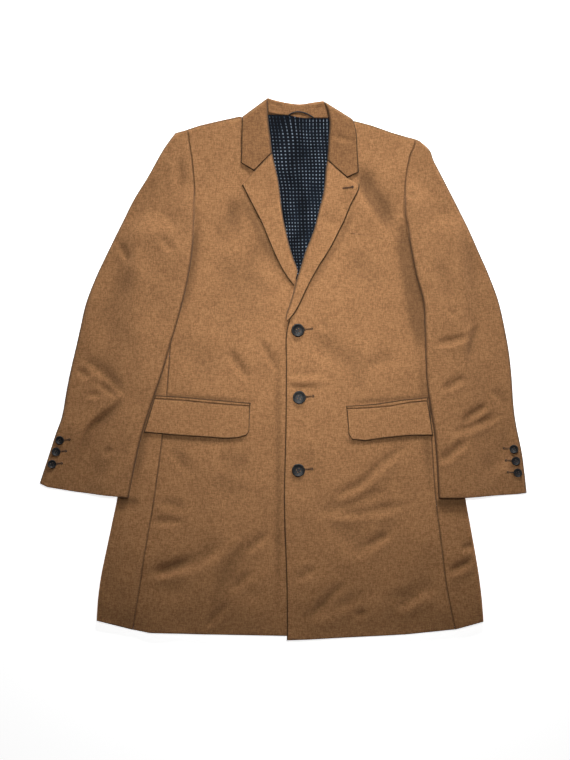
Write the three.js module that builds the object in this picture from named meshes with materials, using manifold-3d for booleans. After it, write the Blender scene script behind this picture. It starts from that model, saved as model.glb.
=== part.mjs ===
// A single-breasted wool overcoat with notch lapels, buttoned and laid flat on its back.
// Millimetres. +Z is up from the surface it lies on, +Y runs from the hem to the collar.
// Right and left are the wearer's, so the right side is at -X as the coat lies face up.
import * as THREE from "three";
import Module from "manifold-3d";
import { mergeVertices } from "three/addons/utils/BufferGeometryUtils.js";

const wasm = await Module();
wasm.setup();

// Cloth and clearances.
const CLOTH = 3; // overcoating with its interlining and lining
const LINING = 0.9;
const SEAM_GAP = 0.4; // between two pieces at a seam
const LAY_GAP = 0.5; // between a panel and the piece that lies on it
const EDGE_RADIUS = 7; // how far in a rolled edge reaches its full height

// Heights of the outside of the cloth above the surface.
const BODY_HEIGHT = 10;
const HEM_HEIGHT = 6.5;
const UNDERLAP_HEIGHT = 7.5;
const SLEEVE_HEIGHT = 10;
const SLEEVE_REST = BODY_HEIGHT + LAY_GAP;
const STAND_HEIGHT = 9.6;
const HEM_FLAT = 15; // the hem's flat strip starts this far below the back's corner
const HEM_FADE = 60; // and rises to the body's height over this
const UNDERLAP_SPREAD = [-85, -5]; // the right front sinks under the left between these x
const UNDERLAP_TOP = [250, 340]; // and no longer does above these y
const OVERLAP_SPREAD = [50, 130]; // the left front comes down to the body between these x
const NECK_RISE = 1.3; // the fronts rise by this over the lifted back

// How a layer comes down to the one below.
const EDGE_SEAT = 0.8; // between a rolled edge and the layer that it comes down to
const SHOULDER_SEAT = 1.35; // a front's top edge rises by this for each millimetre of the back's lift
const REST_MARGIN = 18; // a sleeve stays on the body's height this far beside it
const REST_FADE = 45; // and comes down to the surface over this
const RAMP_GAP = 3; // extra room between a sleeve's layers where they climb onto the body
const FALL_MARGIN = 36; // the back stays lifted this far round the collar's fall
const FALL_FADE = 50; // and comes down over this
const LINING_SEAT = 0.2;
const BUTTON_SEAT = 0.3;
const LOOP_SEAT = 0.3;
const LEAF_ROLL_BASE = 7.9; // how low a leaf comes at the neck
const LEAF_END_BASE = 0.5; // and at its top end, beyond the shoulder

// Sizes of the small pieces.
const UNDERLAP_EDGE = 44; // where the right front's hidden edge lies
const BREAK_Y = 92; // where the roll lines start
const ROLL_WALL = 6.5; // a lapel's rolled wall, and its clearance to the front's edge
const ROLL_CLEAR = 0.5; // between that wall and the lining
const ROLL_BULGE = 1.2; // a lapel is fuller by this at its roll
const ROLL_SPREAD = 22; // and less so over this
const SIDE_WRAP = 50; // how far the side bodies reach under the coat
const SIDE_TOP = { seam: 208, fold: 211 }; // where their edges end under the arm
const UNDER_SEAM_DROP = { foot: 8, head: 1 }; // the seam underneath ends lower by this
const JET = 1.8;
const FALL_LIFT = CLOTH + 0.3; // the collar's fall lifts the back by this
const FRONT_BUTTON = { radius: 11.25, height: 3.8, hole: 1.3, spread: 2.3 };
const CUFF_BUTTON = { radius: 7.5, height: 3, hole: 0.9, spread: 1.6 };
const LOOP_RADIUS = 1.25;

const WOOL = { color: 0x8f6747, roughness: 0.95, metalness: 0 };
const NAVY = { color: 0x0d1522, roughness: 0.55, metalness: 0 };
const HORN = { color: 0x1d1c1c, roughness: 0.35, metalness: 0 };
const CORD = { color: 0x0b0b0c, roughness: 0.8, metalness: 0 };

// Rows of numbers become rows with named columns.
function table(names, rows) {
  return rows.map((row) => Object.fromEntries(names.map((name, k) => [name, row[k]])));
}

// Sections across the body, from the hem up to the armpits.
const BODY = table(
  ["y", "foldRight", "seamRight", "seamLeft", "foldLeft"],
  [
    [-440, -318.5, -255.5, 292.5, 342.5],
    [-370, -312.8, -244.0, 278.5, 336.3],
    [-300, -299.2, -233.4, 269.9, 325.2],
    [-220, -282.5, -219.5, 260.0, 310.7],
    [-110, -264.6, -205.0, 252.5, 295.0],
    [0, -247.0, -194.5, 247.0, 281.0],
    [110, -233.5, -189.0, 243.0, 277.0],
    [208, -226.0, -186.0, 240.0, 278.0],
  ],
);

// Roll lines from the break up to the neck.
const ROLL_RIGHT = table(
  ["y", "x"],
  [
    [BREAK_Y, UNDERLAP_EDGE],
    [125, 37.5],
    [167, 25.8],
    [220, 8.6],
    [264, -1.2],
    [318, -6.8],
    [378, -18.4],
    [432, -25.5],
  ],
);
const ROLL_LEFT = table(
  ["y", "x"],
  [
    [BREAK_Y, 5.1],
    [118, 13.6],
    [164, 27.0],
    [199, 37.9],
    [232, 50.8],
    [273, 61.7],
    [307, 69.4],
    [351, 73.0],
    [395, 78.0],
    [432, 78.2],
  ],
);
const EDGE_LEFT = table(
  ["y", "x"],
  [
    [-461, 6.5],
    [-370, 6.0],
    [-220, 1.5],
    [-110, 4.0],
    [0, 5.0],
    [BREAK_Y, 5.1],
  ],
);

// Sections across each sleeve, from the shoulder to the cuff. The first six inner points are on
// the armhole seam, the others on the fold that lies over the body.
const CAP_ROWS = 6;
const SLEEVE = {
  right: table(
    ["innerX", "innerY", "outerX", "outerY"],
    [
      [-161.5, 408.5, -183.6, 402.4],
      [-157.4, 381.3, -205.0, 372.5],
      [-152.5, 349.0, -230.0, 328.0],
      [-149.3, 310.0, -254.0, 289.0],
      [-149.3, 284.0, -271.0, 255.0],
      [-149.3, 257.6, -286.0, 225.0],
      [-152.0, 220.0, -303.0, 190.0],
      [-157.0, 178.0, -318.5, 156.9],
      [-167.0, 128.0, -334.9, 114.4],
      [-179.0, 82.0, -344.0, 76.0],
      [-191.0, 42.0, -352.0, 40.0],
      [-203.0, 0.0, -361.0, 2.0],
      [-216.0, -38.0, -369.0, -38.0],
      [-229.0, -76.0, -376.5, -80.0],
      [-240.0, -113.0, -388.2, -113.0],
      [-250.0, -155.0, -402.0, -156.0],
      [-262.3, -218.3, -414.5, -194.1],
    ],
  ),
  left: table(
    ["innerX", "innerY", "outerX", "outerY"],
    [
      [225.0, 392.0, 232.6, 389.3],
      [221.0, 377.9, 250.0, 373.0],
      [214.5, 361.8, 257.0, 355.0],
      [208.1, 329.1, 272.0, 326.0],
      [205.7, 296.7, 290.0, 291.0],
      [205.7, 264.0, 306.0, 259.0],
      [210.0, 243.0, 317.0, 236.0],
      [217.6, 202.3, 334.0, 198.0],
      [225.9, 160.0, 350.0, 162.0],
      [238.0, 115.0, 367.0, 116.0],
      [240.6, 69.0, 377.5, 70.0],
      [242.0, 26.0, 385.0, 28.0],
      [243.8, -16.5, 389.5, -15.0],
      [249.0, -58.0, 392.5, -60.0],
      [255.5, -98.0, 397.5, -97.0],
      [260.5, -148.0, 407.5, -146.0],
      [264.4, -219.1, 415.1, -210.3],
    ],
  ),
};
const CUFF = {
  right: [[-262.3, -218.3], [-300, -214.9], [-352, -208.6], [-401, -200.6], [-414.5, -194.1]],
  left: [[264.4, -219.1], [312, -218.5], [355, -215.2], [398.5, -212.5], [415.1, -210.3]],
};

// The lowest part of each armhole, from the side-body seam up to the sleeve's seam.
const UNDERARM = {
  right: [[-167, 214], [-154, 233]],
  left: [[223, 214.5], [212, 237]],
};

// Sections across each lapel, from its foot up to the gorge.
const LAPEL = {
  right: table(
    ["rollX", "rollY", "edgeX", "edgeY"],
    [
      [25.2, 168.0, 18.4, 142.0],
      [22.0, 178.0, 8.0, 155.0],
      [16.2, 193.0, -3.0, 172.5],
      [8.5, 220.7, -14.0, 195.0],
      [1.0, 255.0, -25.0, 221.0],
      [-3.3, 285.0, -35.7, 247.0],
      [-7.4, 318.0, -48.0, 271.0],
      [-13.2, 345.0, -61.5, 297.0],
      [-18.5, 367.2, -69.7, 313.3],
    ],
  ),
  left: table(
    ["rollX", "rollY", "edgeX", "edgeY"],
    [
      [5.5, 93.0, 12.0, 86.5],
      [13.6, 117.8, 28.5, 110.0],
      [22.0, 149.0, 41.0, 137.0],
      [30.0, 174.0, 50.8, 155.7],
      [37.9, 199.4, 61.7, 175.3],
      [46.0, 220.0, 72.0, 191.0],
      [54.0, 242.0, 83.3, 210.0],
      [61.0, 270.0, 93.5, 230.0],
      [67.3, 294.0, 105.1, 253.3],
      [70.5, 314.0, 115.9, 279.3],
      [72.4, 338.0, 128.0, 303.0],
      [75.3, 355.3, 130.1, 315.0],
    ],
  ),
};
const GORGE = {
  right: [[-18.5, 367.2], [-49.0, 336.4], [-69.7, 313.3]],
  left: [[75.3, 355.3], [89.0, 342.4], [109.3, 324.6], [130.1, 315.0]],
};

// The collar's leaves, its fold behind the neck, the neck seam and the fall underneath.
const LEAF = {
  right: {
    roll: [[-18.5, 368.0], [-21.5, 395], [-25.0, 425.0], [-26.5, 462.1]],
    outer: [[-71.7, 350.7], [-70.9, 378], [-70.5, 403.0], [-69.4, 430.6]],
    foot: [[-18.5, 368.0], [-49.0, 337.2], [-71.7, 350.7]],
  },
  left: {
    roll: [[75.3, 356.1], [77.4, 390], [78.4, 425.0], [69.4, 457.1]],
    outer: [[128.9, 334.6], [126.8, 370.4], [124.6, 404.0], [118.0, 426.7]],
    foot: [[75.3, 356.1], [89.0, 343.2], [109.3, 325.4], [128.9, 334.6]],
  },
};
const COLLAR_FOLD = [
  [-26.5, 462.1],
  [-15.3, 458.8],
  [5.1, 454.1],
  [28.6, 451.5],
  [50, 454.4],
  [69, 457.2],
];
const NECK_SEAM = [
  [-24.8, 436.0],
  [-8.5, 433.2],
  [7, 432.3],
  [24.7, 428.2],
  [37.4, 426.6],
  [52.9, 427],
  [76.8, 427.4],
];
const FALL = [
  [-27, 460],
  [-66, 428.5],
  [-73, 392],
  [-22, 379],
  [26, 375],
  [76, 377],
  [127, 388],
  [116, 425.5],
  [69, 455.5],
  [50, 452.8],
  [28.6, 450],
  [5.1, 452.5],
  [-15.3, 457.2],
];
const FALL_UNDER = 24; // how far the stand's fold runs into the fall

// Free edges of the body.
const HEM = {
  right: [[-255.3, -443.5], [-226, -449.3], [-131, -451.7], [UNDERLAP_EDGE, -455]],
  left: [[292.3, -443], [209, -451.7], [114, -456.6], [42.5, -460.2], [6.5, -461.4]],
  back: [[-268, -436], [-130, -445], [90, -449], [292, -437]],
};
const FOLD_FOOT = { right: -428, left: -429.5 };
const SHOULDER = {
  right: [
    [-161.5, 408.5],
    [-141.1, 415.3],
    [-80, 428.6],
    [-73.5, 429.6],
    [-70, 425.5],
    [-62, 423.5],
    [-48, 428],
    [-29.6, 430],
  ],
  left: [
    [225, 392],
    [190.4, 400.7],
    [147.9, 415.3],
    [129, 420.3],
    [121, 422.3],
    [98, 424.5],
    [82, 426.5],
  ],
  back: [
    [-161.1, 408],
    [-141.1, 414.5],
    [-80, 424.5],
    [-62, 422.5],
    [-30, 434],
    [25, 433],
    [80, 429],
    [112, 416],
    [146, 414],
    [224.6, 391.5],
  ],
};

// Flaps and jets: each runs from its inner end to the sleeve's edge.
const POCKETS = {
  right: {
    jetTop: [[-54.9, -57.3], [-121.7, -51.2], [-173.7, -46.8], [-217.0, -44.2]],
    jetFoot: [[-55.8, -62.5], [-121.7, -57.6], [-173.7, -52.5], [-218.9, -49.7]],
    flapTop: [[-55.8, -62.9], [-121.7, -58.0], [-173.7, -52.9], [-219.2, -50.1]],
    flapFoot: [
      [-57.5, -104.9],
      [-62, -112.5],
      [-76.5, -117],
      [-95.7, -118],
      [-191.1, -111.7],
      [-236.8, -107.4],
    ],
  },
  left: {
    jetTop: [[107.1, -62.4], [155.7, -59.0], [201.3, -52.0], [246.0, -47.4]],
    jetFoot: [[108.0, -67.1], [155.7, -65.2], [186.2, -61.9], [216.6, -56.2], [246.4, -53.9]],
    flapTop: [[108.0, -67.5], [155.7, -65.6], [186.2, -62.3], [216.6, -56.6], [246.4, -54.4]],
    flapFoot: [
      [111.9, -110.5],
      [117.8, -120],
      [140.6, -121.9],
      [171, -117.3],
      [216.6, -112.9],
      [255.4, -112.7],
    ],
  },
};
const FRONT_BUTTONS = [[25.3, 66.5], [27.7, -48.1], [26.0, -171.7]];
const CUFF_BUTTONS = {
  right: [[-379.6, -120.7], [-385.8, -140.3], [-392.7, -161.3]],
  left: [[392.6, -135.8], [395.8, -156.1], [399.0, -176.1]],
};
const LOOP = [[8, 430.5], [15, 435.4], [24.7, 437.8], [34.3, 436.6], [43.2, 433.0], [52, 428.0]];

// The largest folds: a soft trough (or a ridge, where height is positive) along a line.
const FOLDS = table(
  ["x0", "y0", "x1", "y1", "width", "height"],
  [
    [-93, 33, -56, -20, 15, -1.5],
    [-226, -350, -155, -322, 16, -1.6],
    [-66, -312, -24, -277, 14, -1.2],
    [-136, -430, -92, -397, 14, -1.2],
    [191, -142, 131, -195, 14, 1.6],
    [84, -249, 209, -229, 16, -1.5],
    [48, -421, 109, -360, 16, -1.4],
    [134, 260, 175, 215, 20, -1.4],
  ],
);
const SLEEVE_FOLDS = table(
  ["x0", "y0", "x1", "y1", "width", "height"],
  [
    [-265, -47, -326, -101, 14, -2],
    [-336, -125, -354, -164, 12, -1.6],
    [-240, 235, -246, 0, 16, 1.6],
    [303, -90, 347, -61, 14, -2],
    [265, 43, 318, 58, 14, -1.8],
    [268, -120, 322, -80, 14, 1.5],
  ],
);

// How finely the panels are divided.
const BODY_ROWS = 16;
const FRONT_COLUMNS = 10;
const BACK_COLUMNS = 12;
const SLEEVE_COLUMNS = 6;
const LAPEL_COLUMNS = 3;
const LEAF_ROWS = 6;
const LEAF_COLUMNS = 4;
const COLLAR_STEPS = 6;
const FLAP_COLUMNS = 8;
const FOLD_COLUMNS = 4;
const FOLD_ANGLES = [90, 54, 18, -18, -54, -90].map((degrees) => THREE.MathUtils.degToRad(degrees));
const ROLL_ANGLES = [0, 30, 60].map((degrees) => THREE.MathUtils.degToRad(degrees));
const ROLL_LIMIT = 0.45; // a rolled edge takes no more than this share of a row
const LATHE_STEPS = 18;
const HOLE_SIDES = 6;
const LOOP_STEPS = 12;

const { lerp, smoothstep } = THREE.MathUtils;

function vectors(points) {
  return points.map(([x, y]) => new THREE.Vector2(x, y));
}

// A column's value at y, on a smooth curve through the rows of a table.
function columnAt(rows, name, y) {
  let k = 1;
  while (k < rows.length - 1 && rows[k].y < y) {
    k += 1;
  }
  const slopeAt = (row) => {
    const low = rows[Math.max(row - 1, 0)];
    const high = rows[Math.min(row + 1, rows.length - 1)];
    return (high[name] - low[name]) / (high.y - low.y);
  };
  const step = rows[k].y - rows[k - 1].y;
  const t = (y - rows[k - 1].y) / step;
  const start = rows[k - 1][name];
  const end = rows[k][name];
  return (
    start * (1 + 2 * t) * (1 - t) ** 2 +
    slopeAt(k - 1) * step * t * (1 - t) ** 2 +
    end * t * t * (3 - 2 * t) +
    slopeAt(k) * step * t * t * (t - 1)
  );
}

// The point a share of the way along a line of points.
function along(line, share) {
  const lengths = line.slice(1).map((point, k) => point.distanceTo(line[k]));
  let left = share * lengths.reduce((sum, length) => sum + length, 0);
  for (const [k, length] of lengths.entries()) {
    if (left <= length || k === lengths.length - 1) {
      return line[k].clone().lerp(line[k + 1], left / length);
    }
    left -= length;
  }
  return line.at(-1).clone();
}

// The distance from a point to a closed outline, or zero inside it.
function distanceOutside(x, y, outline) {
  let inside = false;
  let nearest = Infinity;
  for (const [k, a] of outline.entries()) {
    const b = outline[(k + 1) % outline.length];
    if (a.y > y !== b.y > y && x < ((b.x - a.x) * (y - a.y)) / (b.y - a.y) + a.x) {
      inside = !inside;
    }
    nearest = Math.min(nearest, distanceToLine(x, y, a, b));
  }
  return inside ? 0 : nearest;
}

function distanceToLine(x, y, a, b) {
  const run = b.clone().sub(a);
  const share = ((x - a.x) * run.x + (y - a.y) * run.y) / run.lengthSq();
  const t = THREE.MathUtils.clamp(share, 0, 1);
  return Math.hypot(x - a.x - run.x * t, y - a.y - run.y * t);
}

// The height that the folds of a table add at a point.
function foldHeight(folds, x, y) {
  return folds.reduce((sum, fold) => {
    const start = new THREE.Vector2(fold.x0, fold.y0);
    const end = new THREE.Vector2(fold.x1, fold.y1);
    const away = distanceToLine(x, y, start, end) / fold.width;
    return sum + fold.height * Math.exp(-away * away);
  }, 0);
}

// Heights of the layers, one on the other.
const FALL_OUTLINE = vectors(FALL);

// How high the collar's fall holds the back.
function backLift(x, y) {
  const away = distanceOutside(x, y, FALL_OUTLINE);
  return FALL_LIFT * (1 - smoothstep(away, FALL_MARGIN, FALL_MARGIN + FALL_FADE));
}

function hemRise(y) {
  const flatEnd = HEM.back[0][1] - HEM_FLAT;
  return smoothstep(y, flatEnd, flatEnd + HEM_FADE);
}

function singleTop(x, y) {
  const lifted = (NECK_RISE * backLift(x, y)) / FALL_LIFT;
  return lerp(HEM_HEIGHT, BODY_HEIGHT, hemRise(y)) + lifted;
}

const FRONT_TOP = {
  right(x, y) {
    const under = lerp(HEM_HEIGHT, UNDERLAP_HEIGHT, hemRise(y));
    const lapped = smoothstep(x, ...UNDERLAP_SPREAD) * (1 - smoothstep(y, ...UNDERLAP_TOP));
    return lerp(singleTop(x, y), under, lapped) + foldHeight(FOLDS, x, y);
  },
  left(x, y) {
    const over = lerp(HEM_HEIGHT, UNDERLAP_HEIGHT, hemRise(y)) + CLOTH + LAY_GAP;
    const lapped = 1 - smoothstep(x, ...OVERLAP_SPREAD);
    return lerp(singleTop(x, y), over, lapped) + foldHeight(FOLDS, x, y);
  },
};

// The lower body's outline, which the sleeves lie over.
function lowerBody() {
  const fold = (side, name) =>
    BODY.map((row) => [row[name], row.y]).concat(UNDERARM[side], [
      [SLEEVE[side][CAP_ROWS - 1].innerX, SLEEVE[side][CAP_ROWS - 1].innerY],
    ]);
  return vectors([...fold("right", "foldRight"), ...fold("left", "foldLeft").reverse()]);
}

const LOWER_BODY = lowerBody();

// How high the body holds a sleeve's underside: full over the body, nothing beside it.
function sleeveRest(x, y) {
  const away = distanceOutside(x, y, LOWER_BODY);
  return SLEEVE_REST * (1 - smoothstep(away, REST_MARGIN, REST_MARGIN + REST_FADE));
}

function sleeveTop(x, y) {
  return sleeveRest(x, y) + SLEEVE_HEIGHT + foldHeight(SLEEVE_FOLDS, x, y);
}

// A closed wall between two grids of points of the same size, with rims all round.
function wall(outer, inner) {
  const rows = outer.length;
  const columns = outer[0].length;
  const points = [...outer.flat(), ...inner.flat()];
  const outerAt = (i, j) => i * columns + j;
  const innerAt = (i, j) => (rows + i) * columns + j;
  const corners = [];
  const quad = (a, b, c, d) => corners.push(a, b, c, a, c, d);
  for (let i = 0; i < rows - 1; i += 1) {
    for (let j = 0; j < columns - 1; j += 1) {
      quad(outerAt(i, j), outerAt(i, j + 1), outerAt(i + 1, j + 1), outerAt(i + 1, j));
      quad(innerAt(i, j), innerAt(i + 1, j), innerAt(i + 1, j + 1), innerAt(i, j + 1));
    }
  }
  const upTo = (count) => Array.from({ length: count - 1 }, (_, k) => k);
  const rim = [
    ...upTo(columns).map((j) => [0, j]),
    ...upTo(rows).map((i) => [i, columns - 1]),
    ...upTo(columns).map((j) => [rows - 1, columns - 1 - j]),
    ...upTo(rows).map((i) => [rows - 1 - i, 0]),
  ];
  for (const [k, cell] of rim.entries()) {
    const next = rim[(k + 1) % rim.length];
    quad(outerAt(...next), outerAt(...cell), innerAt(...cell), innerAt(...next));
  }
  return facingOut(points, corners);
}

// An indexed geometry, turned so that its faces point out.
function facingOut(points, corners) {
  let volume = 0;
  for (let k = 0; k < corners.length; k += 3) {
    const [a, b, c] = corners.slice(k, k + 3).map((corner) => points[corner]);
    volume += a.dot(b.clone().cross(c));
  }
  const turned = volume < 0 ? corners.toReversed() : corners;
  const geometry = new THREE.BufferGeometry().setFromPoints(points);
  geometry.setIndex(turned);
  geometry.computeVertexNormals();
  return geometry;
}

// Places across a panel, as distances from its first edge. At a rolled edge the outside follows a
// quarter round, the inside keeps the wall's thickness, and drop says how much of the height goes.
function placesAcross(length, columns, rolledStart, rolledEnd, thickness) {
  const radius = Math.min(EDGE_RADIUS, ROLL_LIMIT * length);
  const quarter = ROLL_ANGLES.map((angle) => ({
    outer: radius * (1 - Math.cos(angle)),
    inner: radius - (radius - thickness) * Math.cos(angle),
    drop: 1 - Math.sin(angle),
  }));
  const start = rolledStart ? radius : 0;
  const end = rolledEnd ? length - radius : length;
  const flat = Array.from({ length: columns + 1 }, (_, k) => lerp(start, end, k / columns));
  return [
    ...(rolledStart ? quarter.map((place) => ({ ...place, startDrop: place.drop, endDrop: 0 })) : []),
    ...flat.map((place) => ({ outer: place, inner: place, startDrop: 0, endDrop: 0 })),
    ...(rolledEnd
      ? quarter.toReversed().map((place) => ({
          outer: length - place.outer,
          inner: length - place.inner,
          startDrop: 0,
          endDrop: place.drop,
        }))
      : []),
  ];
}

// A panel of cloth between two sides that have a point for each row. The foot and head are its
// edges at the first and last row, and top is the height of its outside. An edge that has a base
// rolls down to that height.
function panel({ sideA, sideB, foot, head, columns, top, baseA, baseB, baseHead, thickness = CLOTH }) {
  const last = sideA.length - 1;
  const footLine = vectors(foot ?? []);
  const headLine = vectors(head ?? []);
  const bulge = (line, across) =>
    line.length ? along(line, across).sub(line[0].clone().lerp(line.at(-1), across)) : new THREE.Vector2();
  const lengths = sideA.map((point, k) => (k ? point.distanceTo(sideA[k - 1]) : 0));
  const total = lengths.reduce((sum, length) => sum + length, 0);
  const shares = lengths.map((_, k) => lengths.slice(0, k + 1).reduce((sum, x) => sum + x, 0) / total);
  const ends = (row) => {
    const k = Math.min(Math.floor(row), last - 1);
    const t = row - k;
    return {
      a: sideA[k].clone().lerp(sideA[k + 1], t),
      b: sideB[k].clone().lerp(sideB[k + 1], t),
      share: lerp(shares[k], shares[k + 1], t),
    };
  };
  const place = (row, across) => {
    const { a, b, share } = ends(row);
    const atFoot = bulge(footLine, across).multiplyScalar(1 - share);
    const atHead = bulge(headLine, across).multiplyScalar(share);
    return a.lerp(b, across).add(atFoot).add(atHead);
  };
  const rows = sideA.map((_, k) => ({ outer: k, inner: k, drop: 0 }));
  if (baseHead) {
    const step = sideA[last].distanceTo(sideA[last - 1]);
    rows.pop();
    rows.push({ outer: last - EDGE_RADIUS / step, inner: last - EDGE_RADIUS / step, drop: 0 });
    for (const angle of ROLL_ANGLES.toReversed()) {
      const outer = EDGE_RADIUS * (1 - Math.cos(angle));
      const inner = EDGE_RADIUS - (EDGE_RADIUS - thickness) * Math.cos(angle);
      rows.push({ outer: last - outer / step, inner: last - inner / step, drop: 1 - Math.sin(angle) });
    }
  }
  const surface = (layer, skin) =>
    rows.map((row) => {
      const middle = ends(row.outer);
      const length = middle.a.distanceTo(middle.b);
      return placesAcross(length, columns, baseA, baseB, thickness).map((across) => {
        const outside = place(row.outer, across.outer / length);
        const point = place(row[layer], across[layer] / length);
        const height = top(outside.x, outside.y) - skin;
        const floors = [
          [baseA, across.startDrop],
          [baseB, across.endDrop],
          [baseHead, row.drop],
        ].filter(([base, drop]) => base && drop > 0);
        const bases = floors.map(([base]) => base(outside.x, outside.y));
        const dropped = floors.reduce((sum, [, drop], k) => sum + (height - bases[k]) * drop, 0);
        return new THREE.Vector3(point.x, point.y, Math.max(height - dropped, Math.min(...bases, height)));
      });
    });
  return { outer: surface("outer", 0), inner: surface("inner", thickness) };
}

// A panel that goes round a fold: over the top from one seam, round the fold, and back underneath.
function foldedPanel(seams, folds, unders, topAt) {
  const section = (thickness) =>
    seams.map((seam, k) => {
      const fold = folds[k];
      const under = unders[k];
      const out = fold.clone().sub(seam).normalize();
      const outBelow = fold.clone().sub(under).normalize();
      const radius = topAt(fold.x, fold.y) / 2;
      const crest = fold.clone().addScaledVector(out, -radius);
      const flat = Array.from({ length: FOLD_COLUMNS }, (_, j) => {
        const point = seam.clone().lerp(crest, j / FOLD_COLUMNS);
        return new THREE.Vector3(point.x, point.y, topAt(point.x, point.y) - thickness);
      });
      const round = FOLD_ANGLES.map((angle) => {
        const way = angle >= 0 ? out : outBelow;
        const reach = (radius - thickness) * Math.cos(angle) - radius;
        const point = fold.clone().addScaledVector(way, reach);
        return new THREE.Vector3(point.x, point.y, radius + (radius - thickness) * Math.sin(angle));
      });
      return [...flat, ...round, new THREE.Vector3(under.x, under.y, thickness)];
    });
  return { outer: section(0), inner: section(CLOTH) };
}

// A closed mesh as a solid that can be joined or cut, and back again.
function solidOf(geometry) {
  const bare = new THREE.BufferGeometry();
  bare.setAttribute("position", geometry.getAttribute("position"));
  if (geometry.getIndex()) {
    bare.setIndex(geometry.getIndex());
  }
  const merged = mergeVertices(bare, 1e-4);
  const corners = merged.getIndex().array;
  const triangles = [];
  for (let k = 0; k < corners.length; k += 3) {
    const [a, b, c] = corners.subarray(k, k + 3);
    if (a !== b && b !== c && c !== a) {
      triangles.push(a, b, c);
    }
  }
  const vertProperties = new Float32Array(merged.getAttribute("position").array);
  const triVerts = new Uint32Array(triangles);
  return new wasm.Manifold(new wasm.Mesh({ numProp: 3, vertProperties, triVerts }));
}

function geometryOf(solid) {
  const { vertProperties, triVerts } = solid.getMesh();
  const geometry = new THREE.BufferGeometry();
  geometry.setAttribute("position", new THREE.BufferAttribute(vertProperties, 3));
  geometry.setIndex(Array.from(triVerts));
  geometry.computeVertexNormals();
  return geometry;
}

// What differs between the two sides. The sign is the way out from the middle.
const SIDES = {
  right: { sign: -1, fold: "foldRight", seam: "seamRight", roll: ROLL_RIGHT },
  left: { sign: 1, fold: "foldLeft", seam: "seamLeft", roll: ROLL_LEFT },
};

// The armhole seam, from the underarm up to the shoulder.
function armhole(side) {
  const cap = SLEEVE[side].slice(0, CAP_ROWS).reverse();
  return vectors([...UNDERARM[side], ...cap.map((row) => [row.innerX, row.innerY])]);
}

// The side-body seam, the side fold and the back's side seam, with a point for each row.
function sideLines(side) {
  const { sign, fold, seam } = SIDES[side];
  const seamFoot = HEM[side][0][1];
  const foldFoot = FOLD_FOOT[side];
  const lines = { seam: [], fold: [], under: [] };
  for (let k = 0; k <= BODY_ROWS; k += 1) {
    const share = k / BODY_ROWS;
    const seamY = lerp(seamFoot, SIDE_TOP.seam, share);
    const foldY = lerp(foldFoot, SIDE_TOP.fold, share);
    const underY = foldY - lerp(UNDER_SEAM_DROP.foot, UNDER_SEAM_DROP.head, share);
    const foldX = columnAt(BODY, fold, foldY);
    lines.seam.push(new THREE.Vector2(columnAt(BODY, seam, seamY), seamY));
    lines.fold.push(new THREE.Vector2(foldX, foldY));
    lines.under.push(new THREE.Vector2(foldX - sign * SIDE_WRAP, underY));
  }
  return lines;
}

function moved(points, x) {
  return points.map((point) => new THREE.Vector2(point.x + x, point.y));
}

// The front edge: straight to the break, then along the roll line inside the lapel's rolled wall.
function frontEdge(side, y) {
  const { sign, roll } = SIDES[side];
  if (y > BREAK_Y) {
    return columnAt(roll, "x", y) + sign * ROLL_WALL;
  }
  return side === "right" ? UNDERLAP_EDGE : columnAt(EDGE_LEFT, "x", y);
}

function frontPanel(side) {
  const { sign } = SIDES[side];
  const sideA = moved([...sideLines(side).seam, ...armhole(side)], (-sign * SEAM_GAP) / 2);
  const headY = SHOULDER[side].at(-1)[1];
  const footY = HEM[side].at(-1)[1];
  const sideB = sideA.map((point) => {
    const share = (point.y - sideA[0].y) / (sideA.at(-1).y - sideA[0].y);
    const y = lerp(footY, headY, share);
    return new THREE.Vector2(frontEdge(side, y), y);
  });
  return panel({
    sideA,
    sideB,
    foot: HEM[side],
    head: SHOULDER[side],
    columns: FRONT_COLUMNS,
    top: FRONT_TOP[side],
    baseHead: (x, y) => CLOTH + EDGE_SEAT + SHOULDER_SEAT * backLift(x, y),
  });
}

function sidePanel(side) {
  const { sign } = SIDES[side];
  const lines = sideLines(side);
  const seam = moved(lines.seam, (sign * SEAM_GAP) / 2);
  const under = moved(lines.under, (sign * SEAM_GAP) / 2);
  return foldedPanel(seam, lines.fold, under, FRONT_TOP[side]);
}

function backPanel() {
  const edge = (side) => {
    const inward = (-SIDES[side].sign * SEAM_GAP) / 2;
    return moved([...sideLines(side).under, ...armhole(side)], inward);
  };
  return panel({
    sideA: edge("right"),
    sideB: edge("left"),
    foot: HEM.back,
    head: SHOULDER.back,
    columns: BACK_COLUMNS,
    top: (x, y) => backLift(x, y) + CLOTH,
  });
}

function sleeveSides(side) {
  const { sign } = SIDES[side];
  const rows = SLEEVE[side].toReversed();
  return {
    sideA: moved(vectors(rows.map((row) => [row.innerX, row.innerY])), (sign * SEAM_GAP) / 2),
    sideB: vectors(rows.map((row) => [row.outerX, row.outerY])),
    foot: CUFF[side],
  };
}

// A sleeve's rolled edge comes down to its under side.
function sleeveEdgeBase(x, y) {
  const rest = sleeveRest(x, y);
  const climbed = rest / SLEEVE_REST;
  return rest + CLOTH + EDGE_SEAT + RAMP_GAP * Math.sqrt(climbed) * (1 - climbed);
}

function sleeveTopPanel(side) {
  return panel({
    ...sleeveSides(side),
    columns: SLEEVE_COLUMNS,
    top: sleeveTop,
    baseA: (x, y) => Math.max(BODY_HEIGHT - CLOTH, sleeveEdgeBase(x, y)),
    baseB: sleeveEdgeBase,
    baseHead: () => CLOTH + EDGE_SEAT,
  });
}

function sleeveUnderPanel(side) {
  return panel({
    ...sleeveSides(side),
    columns: SLEEVE_COLUMNS + 1,
    top: (x, y) => sleeveRest(x, y) + CLOTH,
  });
}

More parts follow.
